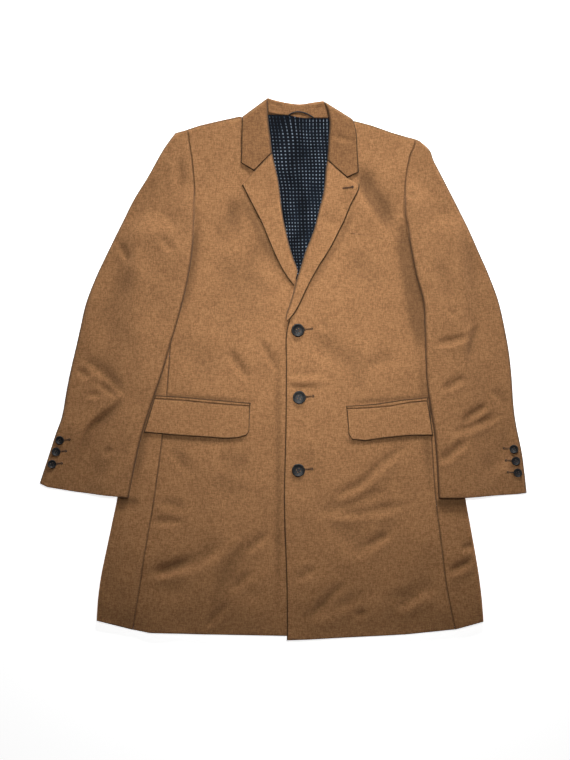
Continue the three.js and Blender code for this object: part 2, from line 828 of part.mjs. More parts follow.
// The turned facing lies on its front, a little fuller towards the roll.
function lapelPanel(side) {
  const rows = LAPEL[side];
  const onFront = (x, y) => FRONT_TOP[side](x, y) + LAY_GAP + CLOTH;
  const fuller = (x, y) => {
    const roll = columnAt(SIDES[side].roll, "x", y);
    return ROLL_BULGE * Math.exp(-Math.abs(x - roll) / ROLL_SPREAD);
  };
  const onLining = (x, y) => CLOTH + LINING + ROLL_CLEAR + backLift(x, y);
  return panel({
    sideA: vectors(rows.map((row) => [row.rollX, row.rollY])),
    sideB: vectors(rows.map((row) => [row.edgeX, row.edgeY])),
    head: GORGE[side],
    columns: LAPEL_COLUMNS,
    top: (x, y) => onFront(x, y) + fuller(x, y),
    baseA: (x, y) => Math.max(FRONT_TOP[side](x, y) - CLOTH, onLining(x, y)),
  });
}

function leafPanel(side) {
  const { roll, outer, foot } = LEAF[side];
  const evenly = (line) => new THREE.SplineCurve(vectors(line)).getSpacedPoints(LEAF_ROWS);
  const ends = [roll.at(-1), outer.at(-1)];
  return panel({
    sideA: evenly(roll),
    sideB: evenly(outer),
    foot,
    head: ends,
    columns: LEAF_COLUMNS,
    top: (x, y) => FRONT_TOP[side](x, y) + LAY_GAP + CLOTH + ROLL_BULGE,
    baseA: () => LEAF_ROLL_BASE,
    baseHead: () => LEAF_END_BASE,
  });
}

// The leaves, the stand behind the neck with its fold, and the fall underneath, in one.
function collar() {
  const spaced = (line) => {
    const points = vectors(line);
    return Array.from({ length: COLLAR_STEPS + 1 }, (_, k) => along(points, k / COLLAR_STEPS));
  };
  const folds = spaced(COLLAR_FOLD);
  const unders = folds.map((fold) => new THREE.Vector2(fold.x, fold.y - FALL_UNDER));
  const stand = foldedPanel(spaced(NECK_SEAM), folds, unders, () => STAND_HEIGHT);
  const fall = new THREE.ExtrudeGeometry(new THREE.Shape(FALL_OUTLINE), {
    depth: CLOTH,
    bevelEnabled: false,
  });
  const panels = [leafPanel("right"), leafPanel("left"), stand];
  const pieces = [...panels.map(({ outer, inner }) => wall(outer, inner)), fall];
  return geometryOf(pieces.map(solidOf).reduce((whole, piece) => whole.add(piece)));
}

// A strip of cloth that lies on its front between two lines, such as a flap or a jet.
function stripOnFront(side, upper, lower, thickness, gap, columns) {
  const upperLine = vectors(upper);
  const lowerLine = vectors(lower);
  const line = (share) => ({ a: along(lowerLine, share), b: along(upperLine, share) });
  const rows = Array.from({ length: columns + 1 }, (_, k) => line(k / columns));
  const grid = (lift) =>
    rows.map(({ a, b }) =>
      [0, 0.5, 1].map((share) => {
        const { x, y } = a.clone().lerp(b, share);
        return new THREE.Vector3(x, y, FRONT_TOP[side](x, y) + lift);
      }),
    );
  return wall(grid(gap + thickness), grid(gap));
}

// The lining shows between the lapels. It is made from the back's own points, moved out, and its
// last row follows the neck seam.
const LINING_FOOT = 130;
const LINING_COLUMNS = { first: 3, last: 9 };

function backLining(back) {
  const { first, last } = LINING_COLUMNS;
  const neck = vectors(NECK_SEAM);
  const rows = back.outer.filter((row) => row[first].y > LINING_FOOT);
  const onNeck = (j) => {
    const { x, y } = along(neck, j / (last - first));
    return new THREE.Vector3(x, y - SEAM_GAP, CLOTH + backLift(x, y));
  };
  const grid = (lift) =>
    rows.map((row, k) =>
      row.slice(first, last + 1).map((point, j) => {
        const start = k < rows.length - 1 ? point.clone() : onNeck(j);
        return start.add(new THREE.Vector3(0, 0, lift));
      }),
    );
  return wall(grid(LINING_SEAT + LINING), grid(LINING_SEAT));
}

// A dished button with a rounded rim and four holes.
function buttonGeometry({ radius, height, hole, spread }) {
  const profile = [
    [0, 0],
    [radius * 0.86, 0],
    [radius, height * 0.35],
    [radius, height * 0.7],
    [radius * 0.9, height],
    [radius * 0.68, height * 0.82],
    [0, height * 0.62],
  ].map(([x, z]) => new THREE.Vector2(x, z));
  const body = new THREE.LatheGeometry(profile, LATHE_STEPS).rotateX(Math.PI / 2);
  let solid = solidOf(body);
  for (const [x, y] of [[1, 1], [-1, 1], [-1, -1], [1, -1]]) {
    const drill = new THREE.CylinderGeometry(hole, hole, height * 3, HOLE_SIDES).rotateX(Math.PI / 2);
    drill.translate(x * spread, y * spread, height / 2);
    solid = solid.subtract(solidOf(drill));
  }
  return geometryOf(solid);
}

// A thin cord along the neck seam, standing on the collar's inner side.
function hangerLoop() {
  const lift = STAND_HEIGHT + LOOP_SEAT + LOOP_RADIUS;
  const path = new THREE.CatmullRomCurve3(LOOP.map(([x, y]) => new THREE.Vector3(x, y, lift)));
  const section = new THREE.Shape();
  section.absarc(0, 0, LOOP_RADIUS, 0, Math.PI * 2);
  return new THREE.ExtrudeGeometry(section, {
    steps: LOOP_STEPS,
    extrudePath: path,
    curveSegments: 4,
    bevelEnabled: false,
  });
}

const coat = new THREE.Group();

function add(name, geometry, finish) {
  const piece = new THREE.Mesh(geometry, new THREE.MeshStandardMaterial(finish));
  piece.name = name;
  coat.add(piece);
  return piece;
}

function addPanel(name, { outer, inner }) {
  return add(name, wall(outer, inner), WOOL);
}

const back = backPanel();
addPanel("back", back);
add("lining_back", backLining(back), NAVY);
for (const side of ["right", "left"]) {
  addPanel(`front_${side}`, frontPanel(side));
  addPanel(`side_${side}`, sidePanel(side));
  addPanel(`sleeve_under_${side}`, sleeveUnderPanel(side));
  addPanel(`sleeve_top_${side}`, sleeveTopPanel(side));
  addPanel(`lapel_${side}`, lapelPanel(side));
  const { jetTop, jetFoot, flapTop, flapFoot } = POCKETS[side];
  add(`flap_${side}`, stripOnFront(side, flapTop, flapFoot, CLOTH, LAY_GAP, FLAP_COLUMNS), WOOL);
  add(`jet_${side}`, stripOnFront(side, jetTop, jetFoot, JET, LAY_GAP, FLAP_COLUMNS), WOOL);
}
add("collar", collar(), WOOL);
add("hanger_loop", hangerLoop(), CORD);

for (const [k, [x, y]] of FRONT_BUTTONS.entries()) {
  const button = add(`button_front_${k + 1}`, buttonGeometry(FRONT_BUTTON), HORN);
  button.position.set(x, y, FRONT_TOP.left(x, y) + BUTTON_SEAT);
}
for (const side of ["right", "left"]) {
  for (const [k, [x, y]] of CUFF_BUTTONS[side].entries()) {
    const button = add(`button_cuff_${side}_${k + 1}`, buttonGeometry(CUFF_BUTTON), HORN);
    button.position.set(x, y, sleeveTop(x, y) + BUTTON_SEAT);
  }
}

export default coat;
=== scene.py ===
"""Dresses the frame of a camel wool overcoat that lies buttoned and flat on its back.

Lengths are millimetres in the frame's axes until a mesh is made, which is in metres. Right and
left are the wearer's, so the right side is at -X. Each cloth piece is a shell on its solid's form,
worked out from the same tables, with its creases placed one by one.
"""
import math
from functools import partial

import bmesh
import bpy
import numpy as np
from mathutils import Matrix, Vector


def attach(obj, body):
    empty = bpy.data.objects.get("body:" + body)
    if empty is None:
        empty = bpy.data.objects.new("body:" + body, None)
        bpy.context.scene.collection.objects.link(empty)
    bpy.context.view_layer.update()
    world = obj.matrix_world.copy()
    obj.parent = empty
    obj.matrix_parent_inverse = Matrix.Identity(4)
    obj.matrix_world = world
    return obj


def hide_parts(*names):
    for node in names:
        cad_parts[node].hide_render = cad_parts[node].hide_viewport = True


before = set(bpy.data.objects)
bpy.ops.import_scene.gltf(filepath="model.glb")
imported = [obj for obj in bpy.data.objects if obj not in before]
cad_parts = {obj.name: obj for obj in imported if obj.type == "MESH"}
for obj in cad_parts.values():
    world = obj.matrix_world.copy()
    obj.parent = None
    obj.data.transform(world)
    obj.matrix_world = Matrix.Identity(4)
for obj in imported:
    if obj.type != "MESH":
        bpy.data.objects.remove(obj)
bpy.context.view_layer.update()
MM = 0.001

# Cloth, clearances and the heights of the layers, as in the solids.
CLOTH = 3
LINING = 0.9
SEAM_GAP = 0.1
LAY_GAP = 1.2
FOLD_RADIUS = 7.5
BODY_HEIGHT = 10
HEM_HEIGHT = 6.5
UNDERLAP_HEIGHT = 7.5
SLEEVE_HEIGHT = 11
SLEEVE_REST = 11.6
STAND_HEIGHT = 9.8
HEM_Y = -452.0
HEM_FADE = 60
FALL_LIFT = CLOTH + 0.3
NECK_RISE = 1.3
UNDERLAP_EDGE = 44
BREAK_Y = 92
ROLL_WALL = 6.5
SIDE_WRAP = 50
EDGE_SEAT = 0.8
GORGE_GAP = 0.4
ROLL_BULGE = 2.2
# How far a front's armhole edge laps under its sleeve, how far the sleeve's edge tucks in there, and
# the y between which each begins.
ARMHOLE_LAP = 1.1
ARMHOLE_LAP_Y = (215, 240)
SLEEVE_TUCK = 2.4
SLEEVE_TUCK_Y = (205, 245)
BODY_ROWS = 16
SIGN = {"right": -1, "left": 1}

# Sections across the body, from the hem up to the armpits.
BODY_COLUMNS = ("y", "foldRight", "seamRight", "seamLeft", "foldLeft")
BODY = np.array([
    [-440, -318.5, -255.5, 292.5, 342.5],
    [-370, -312.8, -244, 278.5, 336.3],
    [-300, -299.2, -233.4, 269.9, 325.2],
    [-220, -282.5, -219.5, 260, 310.7],
    [-110, -264.6, -205, 252.5, 295],
    [0, -247, -194.5, 247, 281],
    [110, -233.5, -189, 243, 277],
    [208, -226, -186, 240, 278],
])
# Roll lines and the front edge, as y and x.
ROLL = {
    "right": [[92, 44], [125, 37.5], [167, 25.8], [220, 8.6], [264, -1.2], [318, -6.8], [378, -18.4],
              [432, -25.5]],
    "left": [[92, 5.1], [118, 13.6], [164, 27], [199, 37.9], [232, 50.8], [273, 61.7], [307, 69.4], [351, 73],
             [395, 78], [432, 78.2]],
}
EDGE_LEFT = [[-461, 6.5], [-370, 6], [-220, 1.5], [-110, 4], [0, 5], [92, 5.1]]

# Sections across each sleeve, from the shoulder to the cuff: inner x and y, outer x and y.
CAP_ROWS = 6
SLEEVE = {
    "right": np.array([
        [-161.5, 408.5, -183.6, 402.4], [-157.4, 381.3, -205, 372.5], [-152.5, 349, -230, 328],
        [-149.3, 310, -254, 289], [-149.3, 284, -271, 255], [-149.3, 257.6, -286, 225],
        [-152, 220, -303, 190], [-157, 178, -318.5, 156.9], [-167, 128, -334.9, 114.4],
        [-179, 82, -344, 76], [-191, 42, -352, 40], [-203, 0, -361, 2],
        [-216, -38, -369, -38], [-229, -76, -376.5, -80], [-240, -113, -388.2, -113],
        [-250, -155, -402, -156], [-262.3, -218.3, -414.5, -194.1],
    ]),
    "left": np.array([
        [225, 392, 232.6, 389.3], [221, 377.9, 250, 373], [214.5, 361.8, 257, 355],
        [208.1, 329.1, 272, 326], [205.7, 296.7, 290, 291], [205.7, 264, 306, 259],
        [210, 243, 317, 236], [217.6, 202.3, 334, 198], [225.9, 160, 350, 162],
        [238, 115, 367, 116], [240.6, 69, 377.5, 70], [242, 26, 385, 28],
        [243.8, -16.5, 389.5, -15], [249, -58, 392.5, -60], [255.5, -98, 397.5, -97],
        [260.5, -148, 407.5, -146], [264.4, -219.1, 415.1, -210.3],
    ]),
}
CUFF = {
    "right": [[-262.3, -218.3], [-300, -214.9], [-352, -208.6], [-401, -200.6], [-414.5, -194.1]],
    "left": [[264.4, -219.1], [312, -218.5], [355, -215.2], [398.5, -212.5], [415.1, -210.3]],
}
UNDERARM = {"right": [[-167, 214], [-155, 233]], "left": [[223, 214.5], [213, 237]]}

# Sections across each lapel, from its foot up to the gorge: roll x and y, edge x and y.
LAPEL = {
    "right": np.array([
        [25.2, 168, 18.4, 142], [22, 178, 8, 155], [16.2, 193, -3, 172.5],
        [8.5, 220.7, -14, 195], [1, 255, -25, 221], [-3.3, 285, -35.7, 247],
        [-7.4, 318, -48, 271], [-13.2, 345, -61.5, 297], [-18.5, 367.2, -69.7, 313.3],
    ]),
    "left": np.array([
        [4.6, 85.5, 8, 82], [6.5, 98, 18.5, 93], [13.6, 117.8, 28.5, 110], [22, 149, 41, 137],
        [30, 174, 50.8, 155.7], [37.9, 199.4, 61.7, 175.3], [46, 220, 72, 191],
        [54, 242, 83.3, 210], [61, 270, 93.5, 230], [67.3, 294, 105.1, 253.3],
        [70.5, 314, 115.9, 279.3], [72.4, 338, 128, 303], [75.3, 355.3, 130.1, 315],
    ]),
}
GORGE = {
    "right": [[-18.5, 367.2], [-49, 336.4], [-69.7, 313.3]],
    "left": [[75.3, 355.3], [89, 342.4], [109.3, 324.6], [130.1, 315]],
}
LEAF = {
    "right": {
        "roll": [[-18.5, 368], [-21.5, 395], [-25, 425], [-26.5, 462.4]],
        "outer": [[-71.7, 350.7], [-70.9, 378], [-70.5, 403], [-69.4, 430.6]],
    },
    "left": {
        "roll": [[75.3, 356.1], [77.4, 390], [78.4, 425], [69.4, 457.1]],
        "outer": [[128.9, 334.6], [126.8, 370.4], [124.6, 404], [118, 426.7]],
    },
}
COLLAR_FOLD = [[-26.5, 462.3], [-15.3, 458.8], [5.1, 454.1], [28.6, 451.5], [50, 454.4], [69, 457.2]]
NECK_SEAM = [[-24.8, 436], [-8.5, 433.2], [7, 432.3], [24.7, 428.2], [37.4, 426.6], [52.9, 427],
             [76.8, 427.4]]
FALL = np.array([
    [-27, 460], [-66, 428.5], [-73, 392], [-22, 379], [26, 375], [76, 377], [127, 388], [116, 425.5],
    [69, 455.5], [50, 452.8], [28.6, 450], [5.1, 452.5], [-15.3, 457.2],
], float)
FALL_UNDER = 24.0

HEM = {
    "right": [[-255.3, -443.5], [-226, -449.3], [-131, -451.7], [44, -455]],
    "left": [[292.3, -443], [209, -451.7], [114, -456.6], [42.5, -460.2], [6.5, -461.4]],
    "back": [[-268, -436], [-130, -445], [90, -449], [292, -437]],
}
FOLD_FOOT = {"right": -428, "left": -429.5}
SHOULDER = {
    "right": [[-161.5, 408.5], [-141.1, 415.3], [-80, 428.6], [-73.5, 430], [-70, 430.4], [-66, 427],
              [-60, 424.5], [-48, 428], [-29.6, 430]],
    "left": [[225, 392], [190.4, 400.7], [147.9, 415.3], [129, 420.3], [121, 422.3], [98, 424.5],
             [82, 426.5]],
    "back": [[-161.1, 408], [-141.1, 414.5], [-80, 424.5], [-62, 422.5], [-30, 434], [25, 433], [80, 429],
             [112, 416], [146, 414], [224.6, 391.5]],
}
POCKETS = {
    "right": {
        "jetTop": [[-54.9, -57.3], [-121.7, -51.2], [-173.7, -46.8], [-217, -44.2]],
        "jetFoot": [[-55.8, -62.5], [-121.7, -57.6], [-173.7, -52.5], [-218.9, -49.7]],
        "flapTop": [[-55.8, -62.9], [-121.7, -58], [-173.7, -52.9], [-219.2, -50.1]],
        "flapFoot": [[-57.5, -104.9], [-62, -112.5], [-76.5, -117], [-95.7, -118], [-191.1, -111.7],
                     [-236.8, -107.4]],
    },
    "left": {
        "jetTop": [[107.1, -62.4], [155.7, -59], [201.3, -52], [246, -47.4]],
        "jetFoot": [[108, -67.1], [155.7, -65.2], [186.2, -61.9], [216.6, -56.2], [246.4, -53.9]],
        "flapTop": [[108, -67.5], [155.7, -65.6], [186.2, -62.3], [216.6, -56.6], [246.4, -54.4]],
        "flapFoot": [[111.9, -110.5], [117.8, -120], [140.6, -121.9], [171, -117.3], [216.6, -112.9],
                     [255.4, -112.7]],
    },
}
FRONT_BUTTONS = [[25.3, 66.5], [27.7, -48.1], [26, -171.7]]
CUFF_BUTTONS = {
    "right": [[-379.6, -120.7], [-385.8, -140.3], [-392.7, -161.3]],
    "left": [[392.6, -135.8], [395.8, -156.1], [399, -176.1]],
}
LOOP = [[8, 430.5], [15, 435.4], [24.7, 437.8], [34.3, 436.6], [43.2, 433], [52, 428]]

# Creases, with a row each: width, height (a trough is negative), the height of the ridge on its right
# as one follows it, and the x and y of each of its points.
BODY_CREASES = [
    (12, -1.3, 0.6, -93, 300, -84, 250, -72, 215),
    (8, -2, 0.8, -93, 33, -76, 8, -56, -20),
    (7, -1.8, 0.7, -42, 53, -26, 28, -9, -3),
    (9, -2, 0.9, -226, -350, -190, -338, -155, -322),
    (8, -1.6, 0.6, -66, -312, -24, -277),
    (8, -1.5, 0.6, -88, -377, -51, -341),
    (8, -1.5, 0.6, -136, -441, -92, -397),
    (7, -1.3, 0.5, -226, -260, -168, -258),
    (22, -1.3, 0, -130, 130, -80, 60),
    (26, -1.2, 0, -120, -180, -60, -230),
    (13, -1.4, 0.5, 136, 7, 194, 23),
    (14, -1.3, 0, 112, -18, 140, -30),
    (5, -1.6, -0.2, 6, -30, 45, -31, 77, -29),
    (5, 1.2, 0, 6, -21, 40, -21.5, 72, -20),
    (5, -0.8, 0.3, 8, -6, 71, -7),
    (6, -0.9, 0.3, 62, 81, 78, 66),
    (8, -2.4, 0, 216, -126, 184, -147, 131, -195, 80, -217),
    (9, 1.8, 0, 211, -140, 180, -162, 131, -209, 84, -230),
    (9, -1.7, 0.8, 83, -249, 150, -241, 209, -229),
    (7, -1.5, 0.6, 138, -302, 180, -282),
    (8, -1.5, 0.6, 19, -360, 56, -336),
    (9, -1.7, 0.8, 48, -421, 80, -386, 109, -360),
    (7, -1.2, 0.5, 119, -421, 143, -412),
    (9, -1.6, 0.7, 190, -409, 233, -385),
    (7, -2.2, 1, 280, -347, 322, -325),
    (6, -1.8, 0.8, 303, -308, 327, -296),
    (16, -2.6, 1.5, 128, 350, 150, 300, 172, 268, 184, 232),
    (26, -1.3, 0, 110, 200, 170, 130),
    (18, -0.9, 0, 60, -130, 20, -215),
    (15, -3, 0, 203, 262, 212, 190, 224, 110, 232, 30),
    (13, -2.4, 0, -150, 250, -160, 170, -178, 80),
    (16, -1.8, 0.6, -66, 290, -100, 240, -112, 200),
    (15, -1.4, 0, -30, 225, -58, 160, -20, 120),
    (15, -1.7, 1.2, -59, -288, -95, -350, -127, -428),
    (13, 1.4, 0, -23, -338, -38, -360, -55, -382),
    (13, -1.3, 1, -238, -346, -160, -330, -91, -292),
    (9, -1.2, 0.6, -191, -132, -176, -152, -162, -178),
    (10, -1, 0.5, -213, -224, -163, -238),
    (18, -1.1, 0.4, -116, -145, -55, -174),
    (12, -1.3, 0.9, 52, -245, 113, -228, 181, -203),
    (20, -1.4, 0.5, 80, -256, 110, -282, 145, -303),
    (12, -1.2, 0.8, 109, -320, 150, -295, 188, -267),
    (12, -1.2, 0.8, 174, -392, 220, -380, 267, -364),
    (14, -1.2, 0.8, 31, -424, 80, -405, 138, -382),
    (20, -1.2, 0.5, -200, 60, -150, 20, -120, -30),
    (24, -1.3, 0.6, -120, 200, -70, 120, -60, 60),
    (20, -1.2, 0.6, 40, 60, 100, 20, 150, -20),
]
LEAF_CREASES = [(5, -1.3, 0.5, 80, 397, 104, 391, 126, 388)]
LAPEL_CREASES = [(9, -1.5, 0.6, 60, 258, 101, 242), (9, -1.2, 0.5, -4, 300, -26, 262)]
STAND_CREASES = [
    (4, -1.3, 0.6, -22, 453, 0, 446),
    (4, -1.1, 0.5, -22, 444, 2, 439),
    (5, -1.6, 0.6, 70, 449, 52, 440),
]
SLEEVE_CREASES = [
    (15, 2, 0, -243, 232, -246, 100, -240, -18),
    (8, 1.5, 0, -192, 363, -190, 296),
    (6, -1.4, 0, -175, 363, -173, 296),
    (7, -1.6, 0.7, -279, 215, -260, 182),
    (7, -1.6, 0.7, -207, 225, -185, 199),
    (6, -1.7, 0.7, -352, 0, -328, -13),
    (7, -2, 0.8, -315, -22, -282, -47),
    (6, -1.6, 0.7, -337, -44, -301, -42),
    (8, -3, 1.8, -265, -47, -287, -68, -326, -101, -337, -125, -354, -164),
    (6, -1.5, 0.6, -306, -146, -289, -135),
    (9, 2, 0, 262, 346, 268, 300, 272, 257),
    (6, -1.8, 0.8, 207, 300, 228, 292),
    (6, -1.5, 0.6, 279, 103, 293, 90),
    (7, -2.3, 1, 258, 43, 290, 49, 318, 58),
    (8, -2, 0.8, 332, 80, 322, 45, 316, 7),
    (7, -2, 0.9, 270, -37, 296, -20, 313, -18),
    (7, -2.6, 1.2, 300, -91, 322, -77, 348, -60),
    (8, -2.3, 1.1, 287, -108, 330, -92, 366, -79),
    (8, -2.4, 1, 263, -159, 290, -138, 313, -120),
    (7, -1.4, 0.8, 353, -34, 370, -50, 382, -74),
    (9, -1.5, 0.9, -340, 20, -300, -10, -262, -48),
    (16, -1.5, 0.8, -245, 170, -290, 120, -320, 60),
    (16, -1.6, 0.8, -215, 330, -240, 290, -262, 240),
    (14, -1.2, 0.6, -330, -190, -290, -160, -262, -120),
    (16, -1.6, 0.9, 300, 250, 318, 190, 322, 130),
    (12, -1.3, 0.7, 262, 190, 276, 150, 280, 110),
    (14, -1.3, 0.6, 340, -180, 372, -140, 378, -100),
]
LINING_CREASES = [
    (7, -2, 1.9, 24, 385, 18, 330, 12, 270, 8, 200, 10, 150),
    (12, 0.9, 0, 50, 420, 46, 340, 36, 250),
    (9, 0.7, 0, 2, 405, -4, 330),
]
# Painted shade where a front or side lies in the shade of a sleeve, a lapel or a flap, in the same columns;
# these rows only darken the colour.
BODY_SHADES = [
    (15, -3.4, 0, 196, 275, 208, 215, 222, 150, 233, 85, 238, 10),
    (9, -2.6, 0, -147, 290, -146, 245, -152, 205, -166, 150, -190, 70),
    (9, -3, 0, -76, 308, -57, 268, -37, 228, -14, 184, 6, 152),
    (6, -2.4, 0, 128, 292, 108, 246, 90, 212, 64, 170, 34, 118),
    (6, -4, 0, -262, -108, -150, -118, -52, -121),
    (6, -4, 0, 90, -121, 170, -119, 266, -110),
    (4, -3.4, 0, -262, -40, -150, -47.5, -40, -54.5),
    (4, -3.4, 0, 92, -58, 170, -51.5, 280, -43.5),
    (15, -2.6, 0, 128, 345, 148, 302, 170, 266, 180, 232),
    (6, -2.4, 0, -8, 60, -8, -100, -8, -300, -8, -430),
    (8, -2.8, 0, 236, 30, 239, -40, 244, -120, 252, -215),
]
SIDE_SHADES = [
    (9, -3.6, 0, -200, 30, -224, -76, -236, -113, -246, -155, -258, -224),
    (6, -5.5, 0, -240, -224, -266, -224, -290, -221),
    (7, -6, 0, 250, -226, 285, -226, 325, -223),
]
# How strongly creases darken the wool with painted shade on the body and the sleeves, and how dark and deep
# that painted shade gets.
BODY_HOLLOW = 1.6
SLEEVE_HOLLOW = 1.2
HOLLOW_DARK = 0.085
HOLLOW_DEPTH = 5.5
# Rows, gain, seed and height of the creases and the waves.
BUMPS = {"body": (BODY_CREASES, 1.9, 5, 2.0), "sleeve": (SLEEVE_CREASES, 1.8, 11, 1.8)}
WAVE_LENGTHS = (150.0, 95.0, 70.0, 48.0)

# Radius, height, hole and how far the holes are from the middle.
BUTTONS = {"front": (11.25, 3.8, 1.15, 2.3), "cuff": (7.5, 3.0, 0.85, 1.6)}
# A button's dished side as shares of its radius and height, and its thread as a share of the way
# between two holes and a height.
BUTTON_PROFILE = [[0.8, 0], [0.93, 0.12], [0.99, 0.34], [1, 0.55], [0.985, 0.78], [0.94, 0.94], [0.87, 1],
                  [0.79, 0.97], [0.72, 0.84], [0.66, 0.74], [0.5, 0.66], [0.3, 0.62], [0.08, 0.61]]
BUTTON_STITCH = [[-1, -0.9], [-0.6, 0.35], [0, 0.5], [0.6, 0.35], [1, -0.9]]
STITCH_STEP = 0.75

# In metres: the lining's squares, and each light's place, target, size, power and spread in degrees.
PITCH = 0.0058
SQUARE = 0.16
LIGHTS = [
    ("window", (0.22, 1.4, 0.72), (0.05, -0.1, 0.0), (0.5, 0.2), 8.5, 115),
    ("overhead", (0.06, 0.35, 2.0), (0.04, 0.07, 0.0), (0.4, 0.4), 1.45, 37),
]
CAMERA_DISTANCE = 4.2
# The photograph's height: 760 pixels of 1.7 mm.
FRAME_HEIGHT = 760 * 1.7


def smoothstep(x, low, high):
    t = np.clip((x - low) / (high - low), 0, 1)
    return t * t * (3 - 2 * t)


def lerp(a, b, t):
    return a + (b - a) * t


def level(height):
    """A surface of one height."""
    return lambda x, y: np.full(np.shape(x), height)


def unit(vectors):
    return vectors / np.linalg.norm(vectors, axis=-1, keepdims=True)


def curve_at(rows, y, column=1):
    """The value of a column at y, on a smooth curve through rows that begin with their y."""
    rows, y = np.asarray(rows, float), np.asarray(y, float)
    ys, values = rows[:, 0], rows[:, column]
    order = np.arange(len(ys))
    low, high = np.maximum(order - 1, 0), np.minimum(order + 1, order[-1])
    slope = (values[high] - values[low]) / (ys[high] - ys[low])
    k = np.clip(np.searchsorted(ys, y), 1, order[-1])
    step = ys[k] - ys[k - 1]
    t = (y - ys[k - 1]) / step
    before = values[k - 1] * (1 + 2 * t) + slope[k - 1] * step * t
    after = values[k] * (3 - 2 * t) + slope[k] * step * (t - 1)
    return before * (1 - t) ** 2 + after * t * t


def body_at(column, y):
    return curve_at(BODY, y, BODY_COLUMNS.index(column))


def roll_at(side, y):
    return curve_at(ROLL[side], y)


def through(rows, place):
    """Points at places 0 to n on a smooth curve through rows 0 to n."""
    rows, place = np.asarray(rows, float), np.asarray(place, float)
    last = len(rows) - 1
    k = np.clip(np.floor(place).astype(int), 0, last - 1)
    t = (place - k)[..., None]
    a, b = rows[np.maximum(k - 1, 0)], rows[k]
    c, d = rows[k + 1], rows[np.minimum(k + 2, last)]
    return 0.5 * (2 * b + (c - a) * t + (2 * a - 5 * b + 4 * c - d) * t**2 + (3 * b - a - 3 * c + d) * t**3)


def refined(line, steps):
    """Points on a smooth curve through a line's own, with equal steps between each two."""
    last = len(line) - 1
    return through(line, np.linspace(0, last, steps * last + 1))


def distances(points):
    """How far along a line each of its points lies."""
    return np.concatenate([[0], np.cumsum(np.linalg.norm(np.diff(points, axis=0), axis=1))])


def along(line, share, smooth=False):
    """Points a share of the length along a line."""
    line = refined(line, 12) if smooth else np.asarray(line, float)
    far = distances(line)
    at = np.asarray(share, float) * far[-1]
    return np.stack([np.interp(at, far, line[:, k]) for k in range(line.shape[1])], axis=-1)


def from_segment(x, y, a, b):
    """The share of a segment at which it is nearest to each point, and the way from there."""
    run = b - a
    t = np.clip(((x - a[0]) * run[0] + (y - a[1]) * run[1]) / (run @ run), 0, 1)
    return t, x - a[0] - run[0] * t, y - a[1] - run[1] * t


def outside(x, y, outline):
    """The distance from each point to a closed outline, or zero inside it."""
    inside, nearest = False, np.inf
    for a, b in zip(outline, np.roll(outline, -1, axis=0)):
        crosses = (a[1] > y) != (b[1] > y)
        rise = b[1] - a[1] if b[1] != a[1] else 1e-9
        inside = inside ^ (crosses & (x < (b[0] - a[0]) * (y - a[1]) / rise + a[0]))
        _, dx, dy = from_segment(x, y, a, b)
        nearest = np.minimum(nearest, np.hypot(dx, dy))
    return np.where(inside, 0, nearest)


def creases(rows, x, y):
    """The height that the listed creases add: each fades out at its ends and has a ridge beside it."""
    total = 0.0
    for width, height, ridge, *line in rows:
        points = refined(np.reshape(line, (-1, 2)), 6)
        far = distances(points)
        near, beside, share = np.inf, 0.0, 0.0
        for a, b, start, end in zip(points, points[1:], far, far[1:]):
            t, dx, dy = from_segment(x, y, a, b)
            away = np.hypot(dx, dy)
            closer = away < near
            near = np.where(closer, away, near)
            beside = np.where(closer, (dx * (b - a)[1] - dy * (b - a)[0]) / (end - start), beside)
            share = np.where(closer, lerp(start, end, t) / far[-1], share)
        fade = smoothstep(share, -0.05, 0.3) * smoothstep(-share, -1.05, -0.7)
        narrow = width * (0.6 + 0.4 * fade)
        bed = height * np.exp(-((near / narrow) ** 2))
        bank = ridge * np.exp(-(((near - 1.5 * narrow) / narrow) ** 2)) * smoothstep(beside / narrow, 0, 1)
        total = total + (bed + bank) * fade
    return total


def bumps(part, x, y):
    """The creases of a part, on the soft unevenness of worn cloth: long low waves that cross."""
    rows, gain, seed, amount = BUMPS[part]
    rng = np.random.default_rng(seed)
    total = 0.0
    for length in WAVE_LENGTHS:
        for _ in range(3):
            turn, phase = rng.uniform(0, math.tau, 2)
            far = x * math.cos(turn) + y * math.sin(turn)
            total += np.sin(far * math.tau / length + phase) * length / 150
    return gain * creases(rows, x, y) + amount * total / len(WAVE_LENGTHS)


def hollow_shade(rows, gain):
    """Painted shade: how dark the wool is painted in the troughs of these rows."""
    return lambda x, y: HOLLOW_DARK * np.clip(-gain * creases(rows, x, y), 0, HOLLOW_DEPTH)


def back_lift(x, y):
    return FALL_LIFT * (1 - smoothstep(outside(x, y, FALL), 36, 86))


def plain_top(side, x, y):
    """The height of a front's outside before its creases: the solid's own."""
    hem_rise = smoothstep(y, HEM_Y, HEM_Y + HEM_FADE)
    single = lerp(HEM_HEIGHT, BODY_HEIGHT, hem_rise) + NECK_RISE * back_lift(x, y) / FALL_LIFT
    under = lerp(HEM_HEIGHT, UNDERLAP_HEIGHT, hem_rise)
    if side == "right":
        return lerp(single, under, smoothstep(x, -85, -5) * (1 - smoothstep(y, 250, 340)))
    return lerp(single, under + CLOTH + LAY_GAP, 1 - smoothstep(x, 50, 130))


def shown_body(side, x, y):
    """One where the body shows, and nothing under the sleeves and at the underlap."""
    rows = SLEEVE[side]
    inner = np.interp(y, rows[::-1, 1], rows[::-1, 0])
    clear = smoothstep(-SIGN[side] * (x - inner), 4, 34)
    clear = np.where((y > rows[-1, 1] - 20) & (y <= 262), clear, 1.0)
    return clear * (1 - smoothstep(x, -4, 10)) if side == "right" else clear


def front_top(side, x, y):
    pocket = np.exp(-((np.abs(y + 84) / 60) ** 4)) * smoothstep(SIGN[side] * x, 40, 62)
    return plain_top(side, x, y) + bumps("body", x, y) * shown_body(side, x, y) * (1 - 0.75 * pocket)


